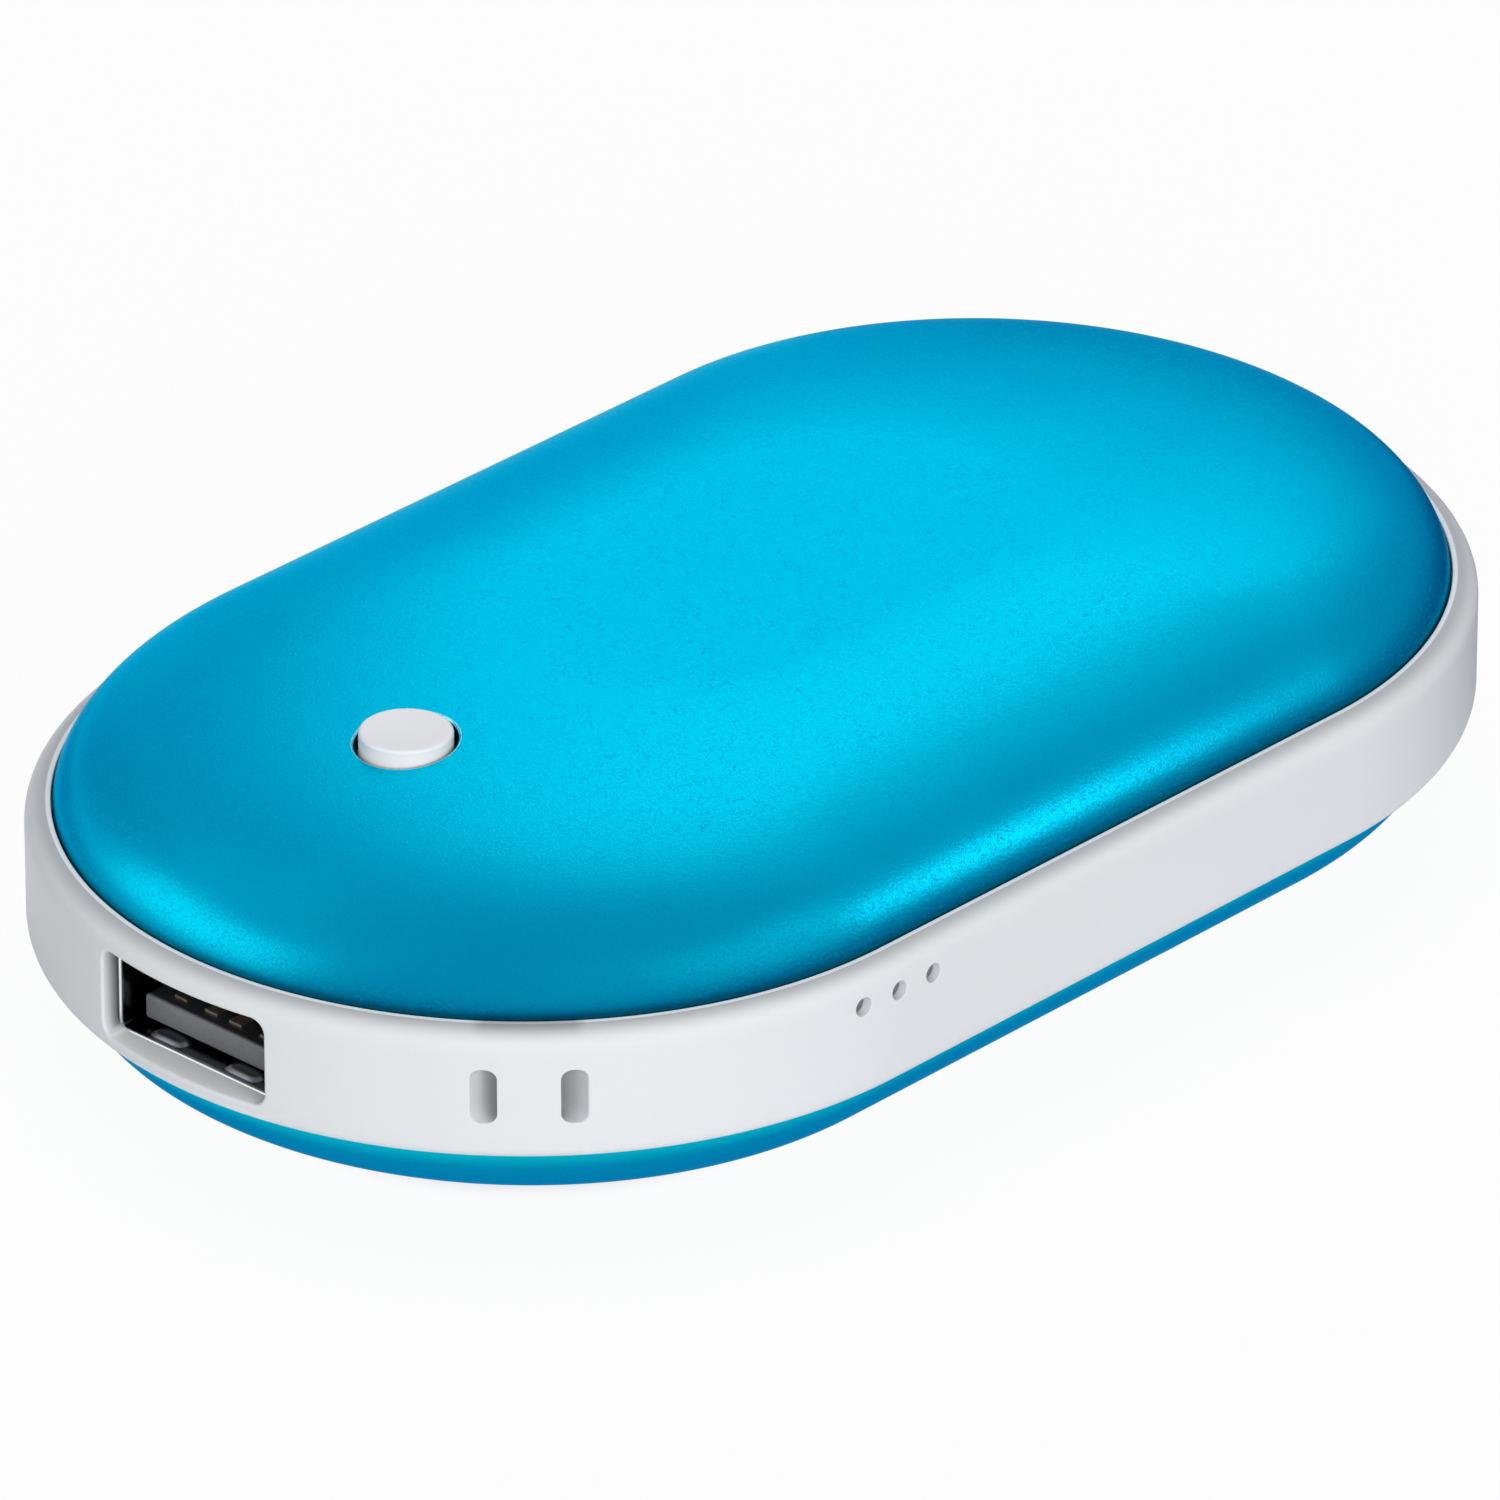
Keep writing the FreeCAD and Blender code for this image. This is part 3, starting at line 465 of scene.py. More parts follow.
def add_strap_loop(band):
    """Two slots joined behind a bridge: a rounded rectangle carried round an upright axis outside
    the wall, as far each way as its circle lies inside the round end."""
    arc = (band.turn - strap_turn) * half_width
    near = np.where(np.abs(band.shift + 1) < 1e-9, arc, np.inf)
    inner_arc, outer_arc, window_half = 1.15, 4.15, 2.4
    first = band.columns(near, -outer_arc, -inner_arc)
    width = first[1] - first[0]
    second = band.columns(near, inner_arc, outer_arc)
    second = (second[0], second[0] + width)
    low, high = strap_z - window_half, strap_z + window_half
    start = band.window(first, low, high)
    end = band.window(second[::-1], low, high)
    inward = -np.array([np.cos(strap_turn), np.sin(strap_turn)])
    across = np.array([-np.sin(strap_turn), np.cos(strap_turn)])
    axis = -inward * strap_reach - [end_center, 0]
    mid_radius, half_depth, half_height, corner, lip = 3.21, 0.69, 1.75, 0.6, 0.08

    def section(square, grow):
        """Radius and height of the channel's outline."""
        flat = rounded_outline(square, half_depth + grow, half_height + grow, corner + grow)
        return flat[:, 0] + mid_radius, flat[:, 1] + strap_z

    def swing(radius):
        """Angle at which a circle about the axis meets the round end."""
        return np.arccos((strap_reach ** 2 + radius ** 2 - half_width ** 2) / (2 * strap_reach * radius))

    def place(radius, z, angle):
        """Point on that circle, measured from the inward direction."""
        toward = np.cos(angle)[:, None] * inward + np.sin(angle)[:, None] * across
        return np.column_stack([axis + radius[:, None] * toward, z])

    def slot_rows(loop, side, square):
        """Face round one slot, and the slot's lip."""
        z_arc = band.at(loop)
        turn = np.arctan2(z_arc[:, 1], z_arc[:, 0] + end_center) % (2 * np.pi)
        border = np.stack([(turn - strap_turn) * half_width, z_arc[:, 2]], axis=-1)
        radius, z = section(square, lip)
        offset = half_width * np.arcsin(radius * np.sin(swing(radius)) / half_width)
        rows = [corner_face(flat[:, 0], flat[:, 1], edge_inset(flat[:, 1])) for flat in
                blend_rows(border, np.stack([side * offset, z], axis=-1), 5)]
        for grow, depth in lip_steps(lip):
            radius, z = section(square, grow)
            rows.append(place(radius, z, side * (swing(radius) - depth / radius)))
        return rows

    flat = band.at(start)
    turn = np.arctan2(flat[:, 1], flat[:, 0] + end_center) % (2 * np.pi)
    square = unit_square(np.stack([-turn, flat[:, 2]], axis=-1))
    rows = slot_rows(start, -1, square)
    far = slot_rows(end, 1, square)
    radius, z = section(square, 0)
    limit = swing(radius) - lip / radius
    rows += [place(radius, z, limit * step) for step in np.linspace(-1, 1, 22)[1:-1]]
    band.join(start, rows + far[::-1], end)


def make_band():
    """Band with the socket's opening, three lamp holes, the charging inlet and the strap loop."""
    band = Band()
    add_socket_opening(band)
    for x in lamp_places:
        add_side_opening(band, -1, x, lamp_z, 1.2, 0.9, 3.4, lamp_outline, 0.05)
    add_side_opening(band, 1, inlet_x, inlet_z, 4.9, -0.6, 3.9, inlet_outline, 0.12)
    add_strap_loop(band)
    return band.mesh()


# Button and socket

def lathe(name, x, profile, around):
    """Profile of radius and height turned about an upright axis, with a pole at each end."""
    turn = np.linspace(0, 2 * np.pi, around, endpoint=False)
    radius, z = np.asarray(profile).T[:, :, None]
    rows = np.stack([x + radius * np.cos(turn), radius * np.sin(turn), z + 0 * turn], axis=-1)
    return fill_mesh(name, *closed_rows(rows, [x, 0, profile[0][1]], [x, 0, profile[-1][1]]), sharp=60)


button_top = float(dome_height(np.array(button_x), np.array(0.0), 0)) + button_rise


def button_cap():
    """Cap with a barely dished top, a rounded edge, and the flange under the cover."""
    under_cover = float(dome_height(np.array(button_x - flange_radius), np.array(0.0), cover_wall))
    flange_top = under_cover - flange_cover_gap
    crown = np.linspace(0.03, 1, 14)[:, None]
    bend = np.linspace(0, np.pi / 2, 10)[1:, None]
    edge = 0.22
    dish = 0.12
    flat = np.hstack([crown * (button_radius - edge), button_top - dish + dish * crown ** 2])
    rounded = np.hstack([button_radius - edge + edge * np.sin(bend),
                         button_top - edge * (1 - np.cos(bend))])
    flange_foot = flange_top - flange_thickness
    soft = 0.06
    foot = [[button_radius, flange_top + 0.08], [button_radius + 0.08, flange_top],
            [flange_radius - soft, flange_top], [flange_radius, flange_top - soft],
            [flange_radius, flange_foot + soft], [flange_radius - soft, flange_foot], [0.2, flange_foot]]
    return lathe("button_cap", button_x, np.concatenate([flat, rounded, foot]), 128)


def swept_outline(name, rows, sharp=40):
    """Rounded rectangles along X, each given by its place, height, half sizes and corner, and closed
    by a pole at both ends."""
    square = square_border(44, 20)
    loops = []
    for x, z, half_across, half_up, corner in rows:
        flat = rounded_outline(square, half_across, half_up, corner) + [0, z]
        loops.append(np.column_stack([np.full(len(flat), x), flat]))
    poles = [[rows[k][0], 0, rows[k][1]] for k in (0, -1)]
    return fill_mesh(name, *closed_rows(loops, *poles), sharp=sharp)


def socket_sleeve():
    """Folded steel box open at the front, with a rounded front lip: half circles of the sheet's
    thickness carried round a rounded rectangle."""
    half = usb_sheet / 2
    across, up = usb_across - half, usb_up - half
    bend = np.linspace(0, np.pi, 9)
    front = [(usb_mouth_x + half - half * np.sin(turn), 0, across + half * np.cos(turn),
              up + half * np.cos(turn), usb_corner - half + half * np.cos(turn)) for turn in bend]
    back = usb_back_x - usb_sheet
    inside = [(x, 0, across - half, up - half, usb_corner - usb_sheet)
              for x in np.linspace(usb_mouth_x + 1.0, back, 8)]
    rows = [(usb_back_x, 0, 0.4, 0.2, 0.1), (usb_back_x, 0, across, up, usb_corner - half),
            (usb_back_x - half, 0, usb_across, usb_up, usb_corner), *front, *inside,
            (back, 0, 0.4, 0.2, 0.1)]
    return swept_outline("socket_sleeve", rows)


def socket_springs():
    """Four sprung leaves in the sleeve: a cushion-like bulge, highest in its middle, that falls as a
    parabola along X and as a fourth power across, with its faces turned outwards."""
    along, across = np.meshgrid(np.linspace(-1, 1, 25), np.linspace(-1, 1, 17), indexing="ij")
    bulge = (1 - along ** 2) * (1 - across ** 4)
    points, faces, start = [], [], 0
    for side in (-1, 1):
        for level in (-1, 1):
            wall = level * (usb_up - usb_sheet)
            height = wall - level * 0.33 * bulge
            under = wall + level * 0.1 * bulge
            x = spring_x + spring_half_length * along
            y = side * spring_y + spring_half_width * across
            sheet = np.stack([x, y, height], axis=-1).reshape(-1, 3)
            back = np.stack([x, y, under], axis=-1).reshape(-1, 3)
            number = np.arange(along.size).reshape(along.shape) + start
            quads = np.stack([number[:-1, :-1], number[1:, :-1], number[1:, 1:], number[:-1, 1:]], axis=-1)
            quads = quads.reshape(-1, 4)[:, ::-level]
            points += [sheet, back]
            faces += [quads, quads[:, ::-1] + along.size]
            start += 2 * along.size
    return fill_mesh("socket_springs", np.concatenate(points), faces, sharp=50, turned=True)


def socket_tongue():
    """Tongue slab with rounded front edges on the block at the back of the sleeve."""
    middle, half, soft = -1.57, 0.78, 0.14
    bend = np.linspace(0, np.pi / 2, 6)
    nose = [(tongue_front + soft * (1 - np.sin(turn)), middle,
             tongue_half_width - soft + soft * np.cos(turn), half - soft + soft * np.cos(turn),
             0.06 + soft * np.cos(turn)) for turn in bend[::-1]]
    block = usb_back_x - usb_sheet
    across, up = usb_across - usb_sheet - 0.05, usb_up - usb_sheet - 0.05
    rows = [(tongue_front, middle, 0.3, 0.1, 0.05), *nose,
            (block - 3.0, middle, tongue_half_width, half, 0.2),
            (block - 3.0, 0, across, up, 0.25), (block, 0, across, up, 0.25), (block, 0, 0.3, 0.1, 0.05)]
    return swept_outline("socket_tongue", rows)


# Finishes

class Sock:
    """A value on its way through a finish's nodes; sums of these add Math nodes."""

    def __init__(self, finish, socket):
        self.finish = finish
        self.socket = socket

    def sum(self, operation, first, second):
        """One Math node."""
        return self.finish.node("ShaderNodeMath", {"operation": operation}, {0: first, 1: second})

    def __add__(self, other):
        return self.sum("ADD", self, other)

    def __radd__(self, other):
        return self.sum("ADD", other, self)

    def __sub__(self, other):
        return self.sum("SUBTRACT", self, other)

    def __rsub__(self, other):
        return self.sum("SUBTRACT", other, self)

    def __mul__(self, other):
        return self.sum("MULTIPLY", self, other)

    def __rmul__(self, other):
        return self.sum("MULTIPLY", other, self)

    def __truediv__(self, other):
        return self.sum("DIVIDE", self, other)

    def __pow__(self, other):
        return self.sum("POWER", self, other)


class Finish:
    """One material's nodes."""

    def __init__(self, name, tree=None):
        if tree is None:
            self.material = bpy.data.materials.new(name)
            self.material.use_nodes = True
            tree = self.material.node_tree
        self.tree = tree
        self.tree.nodes.clear()

    def node(self, kind, settings=None, inputs=None, output=0):
        """New node: its settings first, then the values or links of its sockets."""
        made = self.tree.nodes.new(kind)
        for key, value in (settings or {}).items():
            setattr(made, key, value)
        for key, value in (inputs or {}).items():
            if isinstance(value, Sock):
                self.tree.links.new(value.socket, made.inputs[key])
            else:
                made.inputs[key].default_value = value
        return Sock(self, made.outputs[output]) if made.outputs else None

    def place(self, stretch=(1, 1, 1)):
        """Object coordinates in millimetres, stretched along the axes."""
        where = self.node("ShaderNodeTexCoord", output="Object")
        scale = [1000 * part for part in stretch]
        return self.node("ShaderNodeMapping", {}, {"Vector": where, "Scale": scale})

    def noise(self, place, scale, detail=2.0):
        """Cloudy value from 0 to 1, with a feature size of about one over the scale."""
        return self.node("ShaderNodeTexNoise", {}, {"Vector": place, "Scale": scale, "Detail": detail})

    def span(self, value, low, high, new_low=0.0, new_high=1.0):
        """Value carried smoothly from one range to another."""
        return self.node("ShaderNodeMapRange", {"interpolation_type": "SMOOTHSTEP"},
                         {"Value": value, "From Min": low, "From Max": high,
                          "To Min": new_low, "To Max": new_high})

    def mix(self, factor, first, second):
        """Colour between two colours."""
        ends = [color if isinstance(color, Sock) else (*color, 1) for color in (first, second)]
        inputs = {0: factor, 6: ends[0], 7: ends[1]}
        return self.node("ShaderNodeMix", {"data_type": "RGBA"}, inputs, output=2)

    def bump(self, height, depth, strength=1.0):
        """Normal from a height of 0 to 1 that is worth some millimetres."""
        return self.node("ShaderNodeBump", {},
                         {"Height": height, "Strength": strength, "Distance": depth * 0.001})

    def close(self, inputs):
        """Surface shader with these sockets, joined to the output."""
        shader = self.node("ShaderNodeBsdfPrincipled", {}, inputs)
        self.node("ShaderNodeOutputMaterial", {}, {"Surface": shader})
        return self.material


def axis_of(finish, place, name):
    """One coordinate of a place."""
    return finish.node("ShaderNodeSeparateXYZ", {}, {"Vector": place}, output=name)


def size_of(finish, value):
    """A value without its sign."""
    return finish.node("ShaderNodeMath", {"operation": "ABSOLUTE"}, {0: value})


def reach_of(x, y):
    """Distance of a place in plan from an upright axis."""
    return (x * x + y * y) ** 0.5


def past_end(finish, x):
    """How far a place lies beyond the straight part of the case, along X."""
    past = size_of(finish, x) - end_center
    return finish.node("ShaderNodeMath", {"operation": "MAXIMUM"}, {0: past, 1: 0.0})


def anodised_blue():
    """Bead-blasted and dyed aluminium: fine pits, rougher specks that show in highlights, faint clouds
    in the dye, painted shade at the upper rim, a painted reflection that makes the lower rim paler,
    and a bright cut edge round the button's hole that is also a painted highlight, with painted shade
    on the hole's wall."""
    f = Finish("anodised_blue")
    place = f.place()
    pits = f.noise(place, 5.5, 3)
    clouds = f.noise(place, 0.11, 2)
    x, y, z = (axis_of(f, place, name) for name in "XYZ")
    up = z - lift
    # Painted shade: the top cover's upper rim is darkened towards navy.
    rim = f.span(up, 0.0, 1.0) * f.span(up, band_top, band_top + 0.62, 1.0, 0.0)
    # Painted reflection: the lower cover just under the band is made pale bright cyan.
    under = f.span(up, 0.0, -1.0) * f.span(up, -band_top - 1.7, -band_top - 0.3)
    from_hole = reach_of(x - button_x, y)
    face = f.span(from_hole, hole_radius + 0.05, hole_radius + 0.09)
    cut_edge = hole_radius + hole_chamfer
    # The cut edge round the button's hole is smoother, and also carries a painted highlight in pale bright
    # cyan.
    cut = face * f.span(from_hole, cut_edge + 0.01, cut_edge + 0.06, 1.0, 0.0) * f.span(up, 10.2, 10.7)
    tone = f.mix(clouds, (0.0006, 0.56, 0.765), (0.0009, 0.62, 0.83))
    tone = f.mix(f.span(pits, 0.35, 0.7) * 0.1, tone, (0.002, 0.40, 0.62))
    tone = f.mix(rim * 0.7, tone, (0.001, 0.07, 0.12))
    tone = f.mix(under, tone, (0.005, 0.97, 1.0))
    tone = f.mix(cut, tone, (0.36, 0.90, 1.0))
    # Painted shade: the wall of the button's hole is near black.
    wall = (1 - face) * f.span(up, 5.0, 6.0)
    tone = f.mix(wall, tone, (0.0, 0.03, 0.06))
    specks = f.span(f.noise(place, 7.5, 1), 0.56, 0.68)
    rough = 0.28 + 0.05 * f.noise(place, 2.3, 3) + 0.04 * clouds + 0.28 * specks - 0.1 * cut
    return f.close({"Base Color": tone, "Metallic": 1.0, "Roughness": rough,
                    "Specular Tint": (0.0, 0.66, 0.92, 1), "Normal": f.bump(pits, 0.014, 0.8)})


def band_white():
    """The band's moulded plastic: slow drift in the white and eroded-mould grain. It has painted shade
    on the rounded edge beside the top cover, with a painted highlight along the very edge, painted
    shade deep in the strap loop and on the side walls of the socket's opening, and painted light that
    makes it whiter under the lower edge and on the floor of that opening."""
    f = Finish("band_white")
    place = f.place()
    x, y, z = (axis_of(f, place, name) for name in "XYZ")
    up = z - lift
    depth = half_width - reach_of(past_end(f, x), y)
    socket = f.span(x, -46.5, -45.5, 1.0, 0.0) * f.span(size_of(f, y), 6.9, 7.0, 1.0, 0.0)
    # Painted light: the floor of the socket's opening is made whiter, against the shade in it.
    floor = socket * f.span(up, -2.74, -2.8) * f.span(depth, 0.05, 0.3)
    # Painted shade on the side walls of the socket's opening, darker deeper in.
    sides = socket * f.span(size_of(f, up), 2.5, 2.8, 1.0, 0.0) * f.span(depth, 0.2, 1.15)
    # Painted shade deep in the strap loop.
    loop = f.span(x, -36.5, -37.5) * f.span(y, -12.0, -13.0) * f.span(depth, 0.1, 1.6)
    # Painted shade on the rounded edge beside the top cover.
    lip = f.span(up, 2.9, 4.2) * f.span(depth, 0.05, 1.15)
    # Painted highlight along the very edge beside the top cover.
    painted_edge_highlight = f.span(up, 4.15, 4.25) * f.span(depth, 1.24, 1.32) * f.span(depth, 1.6, 1.65, 1.0, 0.0)
    drift = f.noise(place, 0.06, 2)
    grain = f.noise(place, 7.0, 3)
    color = f.mix(drift, (0.775, 0.795, 0.815), (0.80, 0.825, 0.85))
    color = f.mix(f.span(grain, 0.42, 0.72) * 0.05, color, (0.66, 0.68, 0.70))
    # Painted light: the band is made whiter under its lower edge, against the shade there.
    color = f.mix(f.span(up, -2.7, -4.2), color, (0.93, 0.95, 0.97))
    color = f.mix(lip, color, (0.54, 0.55, 0.565))
    color = f.mix(painted_edge_highlight, color, (0.93, 0.97, 0.98))
    color = f.mix(floor, color, (0.98, 0.985, 0.99))
    # The strap loop's painted shade is darkest near the post between its slots.
    post = size_of(f, y * np.cos(strap_turn) - (x + end_center) * np.sin(strap_turn))
    loop = loop * f.span(post, 2.5, 3.6, 0.48, 0.02)
    color = f.mix(sides * 0.85 + loop, color, (0.10, 0.105, 0.112))
    gloss = 0.36 + 0.07 * f.noise(place, 1.4, 3)
    return f.close({"Base Color": color, "Roughness": gloss, "IOR": 1.45, "Specular IOR Level": 0.3,
                    "Normal": f.bump(grain, 0.004, 0.35)})


def socket_steel():
    """Folded sheet of the socket: rolling lines in tone, gloss and height, a bright sheared front
    edge, and painted shade that makes it dark behind that edge."""
    f = Finish("socket_steel")
    lines = f.noise(f.place((0.15, 4, 4)), 2.0, 4)
    place = f.place()
    clouds = f.noise(place, 0.5, 3)
    # Painted shade: behind its front edge the sleeve is dark steel.
    inside = f.span(axis_of(f, place, "X"), usb_mouth_x + 0.1, usb_mouth_x + 0.3)
    rolled = f.span(lines, 0.3, 0.7) * 0.6 + 0.3 * clouds
    tone = f.mix(rolled, (0.10, 0.105, 0.115), (0.17, 0.175, 0.19))
    tone = f.mix(inside, (0.86, 0.87, 0.89), tone)
    gloss = 0.14 + 0.12 * lines + 0.08 * clouds
    return f.close({"Base Color": tone, "Metallic": 1.0, "Roughness": gloss,
                    "Normal": f.bump(lines, 0.004, 0.4)})


def glinting_spring():
    """The socket's sprung leaves: steel with rolling lines, darkened as painted shade, with a painted
    glint along the front flank of each bulge."""
    f = Finish("spring_steel")
    place = f.place()
    lines = f.noise(f.place((0.15, 4, 4)), 2.0, 4)
    along = (axis_of(f, place, "X") - spring_x) / spring_half_length
    across = (size_of(f, axis_of(f, place, "Y")) - spring_y) / spring_half_width
    bulge = (1 - along * along) * (1 - across ** 4)
    # Painted glint along the front flank of each bulge.
    painted_glint = f.span(bulge, 0.08, 0.2) * f.span(bulge, 0.45, 0.7, 1.0, 0.0) * f.span(along, -0.05, -0.3)
    # Painted shade: the steel is dark apart from the glint.
    tone = f.mix(lines, (0.12, 0.125, 0.13), (0.18, 0.185, 0.195))
    tone = f.mix(painted_glint, tone, (0.80, 0.81, 0.83))
    return f.close({"Base Color": tone, "Metallic": 1.0, "Roughness": 0.3 + 0.12 * lines,
                    "Normal": f.bump(lines, 0.01, 0.3)})


def button_white():
    """The button's moulded plastic: slow drift in the white, eroded-mould grain, slightly uneven
    gloss, and painted light that makes its side whiter and warmer."""
    f = Finish("button_white")
    place = f.place()
    # Painted light: the button's side below the top is whiter and warmer.
    side = f.span(axis_of(f, place, "Z"), lift + button_top - 0.1, lift + button_top - 0.35)
    drift = f.noise(place, 0.06, 2)
    grain = f.noise(place, 7.0, 3)
    color = f.mix(drift, (0.90, 0.92, 0.955), (0.925, 0.945, 0.98))
    color = f.mix(f.span(grain, 0.42, 0.72) * 0.05, color, (0.75, 0.765, 0.79))
    color = f.mix(side, color, (1.0, 0.965, 0.95))
    return f.close({"Base Color": color, "Roughness": 0.26 + 0.07 * f.noise(place, 1.4, 3), "IOR": 1.49,
                    "Normal": f.bump(grain, 0.004, 0.35)})


def insulator_grey():
    """The tongue's glass-filled plastic: a fine speckle, and painted shade that makes it near black
    along the tongue behind its paler front face and edges."""
    f = Finish("insulator_grey")
    place = f.place()
    speck = f.noise(place, 6.0, 3)
    # Painted shade: the tongue is near black behind its front face, paler on it.
    front = f.span(axis_of(f, place, "X"), tongue_front + 0.1, tongue_front + 0.3, 1.0, 0.0)
    color = f.mix(front, (0.022, 0.023, 0.026), (0.20, 0.205, 0.215))
    color = f.mix(f.span(speck, 0.35, 0.68) * 0.2, color, (0.10, 0.104, 0.11))
    return f.close({"Base Color": color, "Roughness": 0.34 + 0.14 * speck,
                    "Normal": f.bump(speck, 0.004, 0.4)})


def drawn_metal(name, tone, shade, rough, along=(0.15, 4, 4)):
    """Rolled sheet: lines along the rolling direction in tone, gloss and height, and dull clouds."""
    f = Finish(name)
    lines = f.noise(f.place(along), 2.0, 4)
    clouds = f.noise(f.place(), 0.5, 3)
    color = f.mix(f.span(lines, 0.3, 0.7) * 0.6 + 0.3 * clouds, shade, tone)
    gloss = rough + 0.12 * lines + 0.08 * clouds
    return f.close({"Base Color": color, "Metallic": 1.0, "Roughness": gloss,
                    "Normal": f.bump(lines, 0.004, 0.4)})


def speckled(name, tone, shade, rough, scale, detail=3, depth=0.004, metal=0.0, stretch=(1, 1, 1)):
    """Cast or coated matter: a speckle of two tones that also roughens and lifts the surface."""
    f = Finish(name)
    place = f.place(stretch)
    speck = f.noise(place, scale, detail)
    clouds = f.noise(place, scale * 0.12, 2)
    color = f.mix(0.65 * f.span(speck, 0.35, 0.68) + 0.35 * clouds, shade, tone)
    gloss = rough + 0.14 * speck
    return f.close({"Base Color": color, "Metallic": metal, "Roughness": gloss,
                    "Normal": f.bump(speck, depth, 0.4)})


def circuit_green():
    """Solder mask over copper: raised tracks on a square raster, paler where copper lies under it."""
    f = Finish("board_green")
    place = f.place()
    tracks = f.node("ShaderNodeTexBrick", {"offset": 0.5, "squash": 0.8},
                    {"Vector": place, "Scale": 0.9, "Mortar Size": 0.06, "Mortar Smooth": 0.3}, output="Fac")
    dust = f.noise(place, 6.0, 3)
    color = f.mix(0.8 * (1 - tracks) + 0.2 * dust, (0.010, 0.085, 0.030), (0.018, 0.17, 0.058))
    return f.close({"Base Color": color, "Roughness": 0.28 + 0.15 * dust,
                    "Normal": f.bump(tracks, 0.02, 0.4)})


def etched_film():
    """Amber film with an etched heater track: stripes that run to and fro under the film."""
    f = Finish("film_amber")
    place = f.place()
    stripes = f.node("ShaderNodeTexWave",
                     {"wave_type": "BANDS", "bands_direction": "Y", "wave_profile": "SIN"},
                     {"Vector": place, "Scale": 0.22, "Distortion": 0.2, "Detail": 1.0}, output="Fac")
    track = f.span(stripes, 0.42, 0.5)
    dust = f.noise(place, 2.0, 3)
    color = f.mix(track * 0.8 + 0.2 * dust, (0.36, 0.13, 0.02), (0.62, 0.28, 0.07))
    return f.close({"Base Color": color, "Roughness": 0.25 + 0.15 * dust,
                    "Normal": f.bump(track, 0.03, 0.5)})


def clear_lens(name, tone):
    """Frosted clear plastic: milky, with a faint frost that roughens it."""
    f = Finish(name)
    place = f.place()
    frost = f.noise(place, 5.0, 3)
    color = f.mix(f.span(frost, 0.3, 0.7), tuple(0.9 * part for part in tone), tone)
    return f.close({"Base Color": color, "Roughness": 0.32 + 0.15 * frost, "IOR": 1.5,
                    "Transmission Weight": 0.25, "Normal": f.bump(frost, 0.004, 0.4)})


finishes = {
    "anodised_blue": anodised_blue(),
    "band_white": band_white(),
    "button_white": button_white(),
    "socket_steel": socket_steel(),
    "insulator_grey": insulator_grey(),
    "insulator_black": speckled("insulator_black", (0.022, 0.023, 0.026), (0.010, 0.011, 0.013), 0.4, 6.0),
    "contact_gold": drawn_metal("contact_gold", (0.86, 0.74, 0.52), (0.72, 0.60, 0.40), 0.4),
    # The lamp lenses' dark grey is painted shade in their holes.
    "lamp_clear": clear_lens("lamp_clear", (0.24, 0.25, 0.26)),
    "lamp_package": clear_lens("lamp_package", (0.82, 0.80, 0.62)),
    "chassis_grey": speckled("chassis_grey", (0.16, 0.165, 0.175), (0.11, 0.115, 0.122), 0.45, 4.0),
    "screw_steel": drawn_metal("screw_steel", (0.42, 0.42, 0.44), (0.24, 0.24, 0.26), 0.28, (2, 2, 2)),
    "cell_tab_nickel": drawn_metal("cell_tab_nickel", (0.62, 0.60, 0.56), (0.42, 0.40, 0.37), 0.3),
    "board_green": circuit_green(),
    "ferrite": speckled("ferrite", (0.06, 0.058, 0.056), (0.028, 0.027, 0.026), 0.6, 5.0, depth=0.02),
    "capacitor_tan": speckled("capacitor_tan", (0.42, 0.27, 0.14), (0.30, 0.18, 0.09), 0.45, 5.0),
    "chip_black": speckled("chip_black", (0.024, 0.024, 0.026), (0.012, 0.012, 0.013), 0.5, 7.0, depth=0.01),
    "film_amber": etched_film(),
    "foam_grey": speckled("foam_grey", (0.30, 0.30, 0.31), (0.13, 0.13, 0.14), 0.85, 1.8, depth=0.15),
    "pouch_silver": speckled("pouch_silver", (0.66, 0.67, 0.69), (0.50, 0.51, 0.53), 0.3, 1.2, metal=0.9),
    "tape_white": speckled("tape_white", (0.74, 0.74, 0.72), (0.62, 0.62, 0.60), 0.6, 2.5),
    "glue_clear": clear_lens("glue_clear", (0.74, 0.74, 0.70)),
    "lead_red": speckled("lead_red", (0.50, 0.035, 0.03), (0.36, 0.02, 0.018), 0.42, 3.0),
    "sensor_bead": speckled("sensor_bead", (0.05, 0.06, 0.09), (0.025, 0.03, 0.05), 0.25, 3.0),
}

for row in frame["record"]["subparts"]:
    carried = frame["nodes"][row["node"]].data
    carried.materials.clear()
    carried.materials.append(finishes[row["material_slot"]])

shown_pieces = [
    ("top_cover_shell", top_cover, "case", "anodised_blue", "top_cover"),
    ("bottom_cover_shell", bottom_cover, "case", "anodised_blue", "bottom_cover"),
    ("band_ring", make_band, "case", "band_white", "mid_band"),
    ("button_cap", button_cap, "button", "button_white", "power_button"),
    ("socket_sleeve", socket_sleeve, "case", "socket_steel", "usb_shell"),
    ("socket_tongue", socket_tongue, "case", "insulator_grey", "usb_tongue"),
]
for name, make, body, slot, node in shown_pieces:
    add_piece(name, make(), body, slot, finishes[slot], node)
add_piece("socket_springs", socket_springs(), "case", "socket_steel", glinting_spring())


# Floor, light and camera

def camera_back(azimuth, elevation):
    """Direction from the object to a camera at these angles."""
    a, e = np.radians([azimuth, elevation])
    return np.array([np.sin(a) * np.cos(e), -np.cos(a) * np.cos(e), np.sin(e)])


def aim(item, place, target):
    """Puts a lamp or camera at a place and turns it towards a target, both in metres."""
    item.location = Vector(place)
    item.rotation_euler = (Vector(target) - Vector(place)).to_track_quat("-Z", "Y").to_euler()


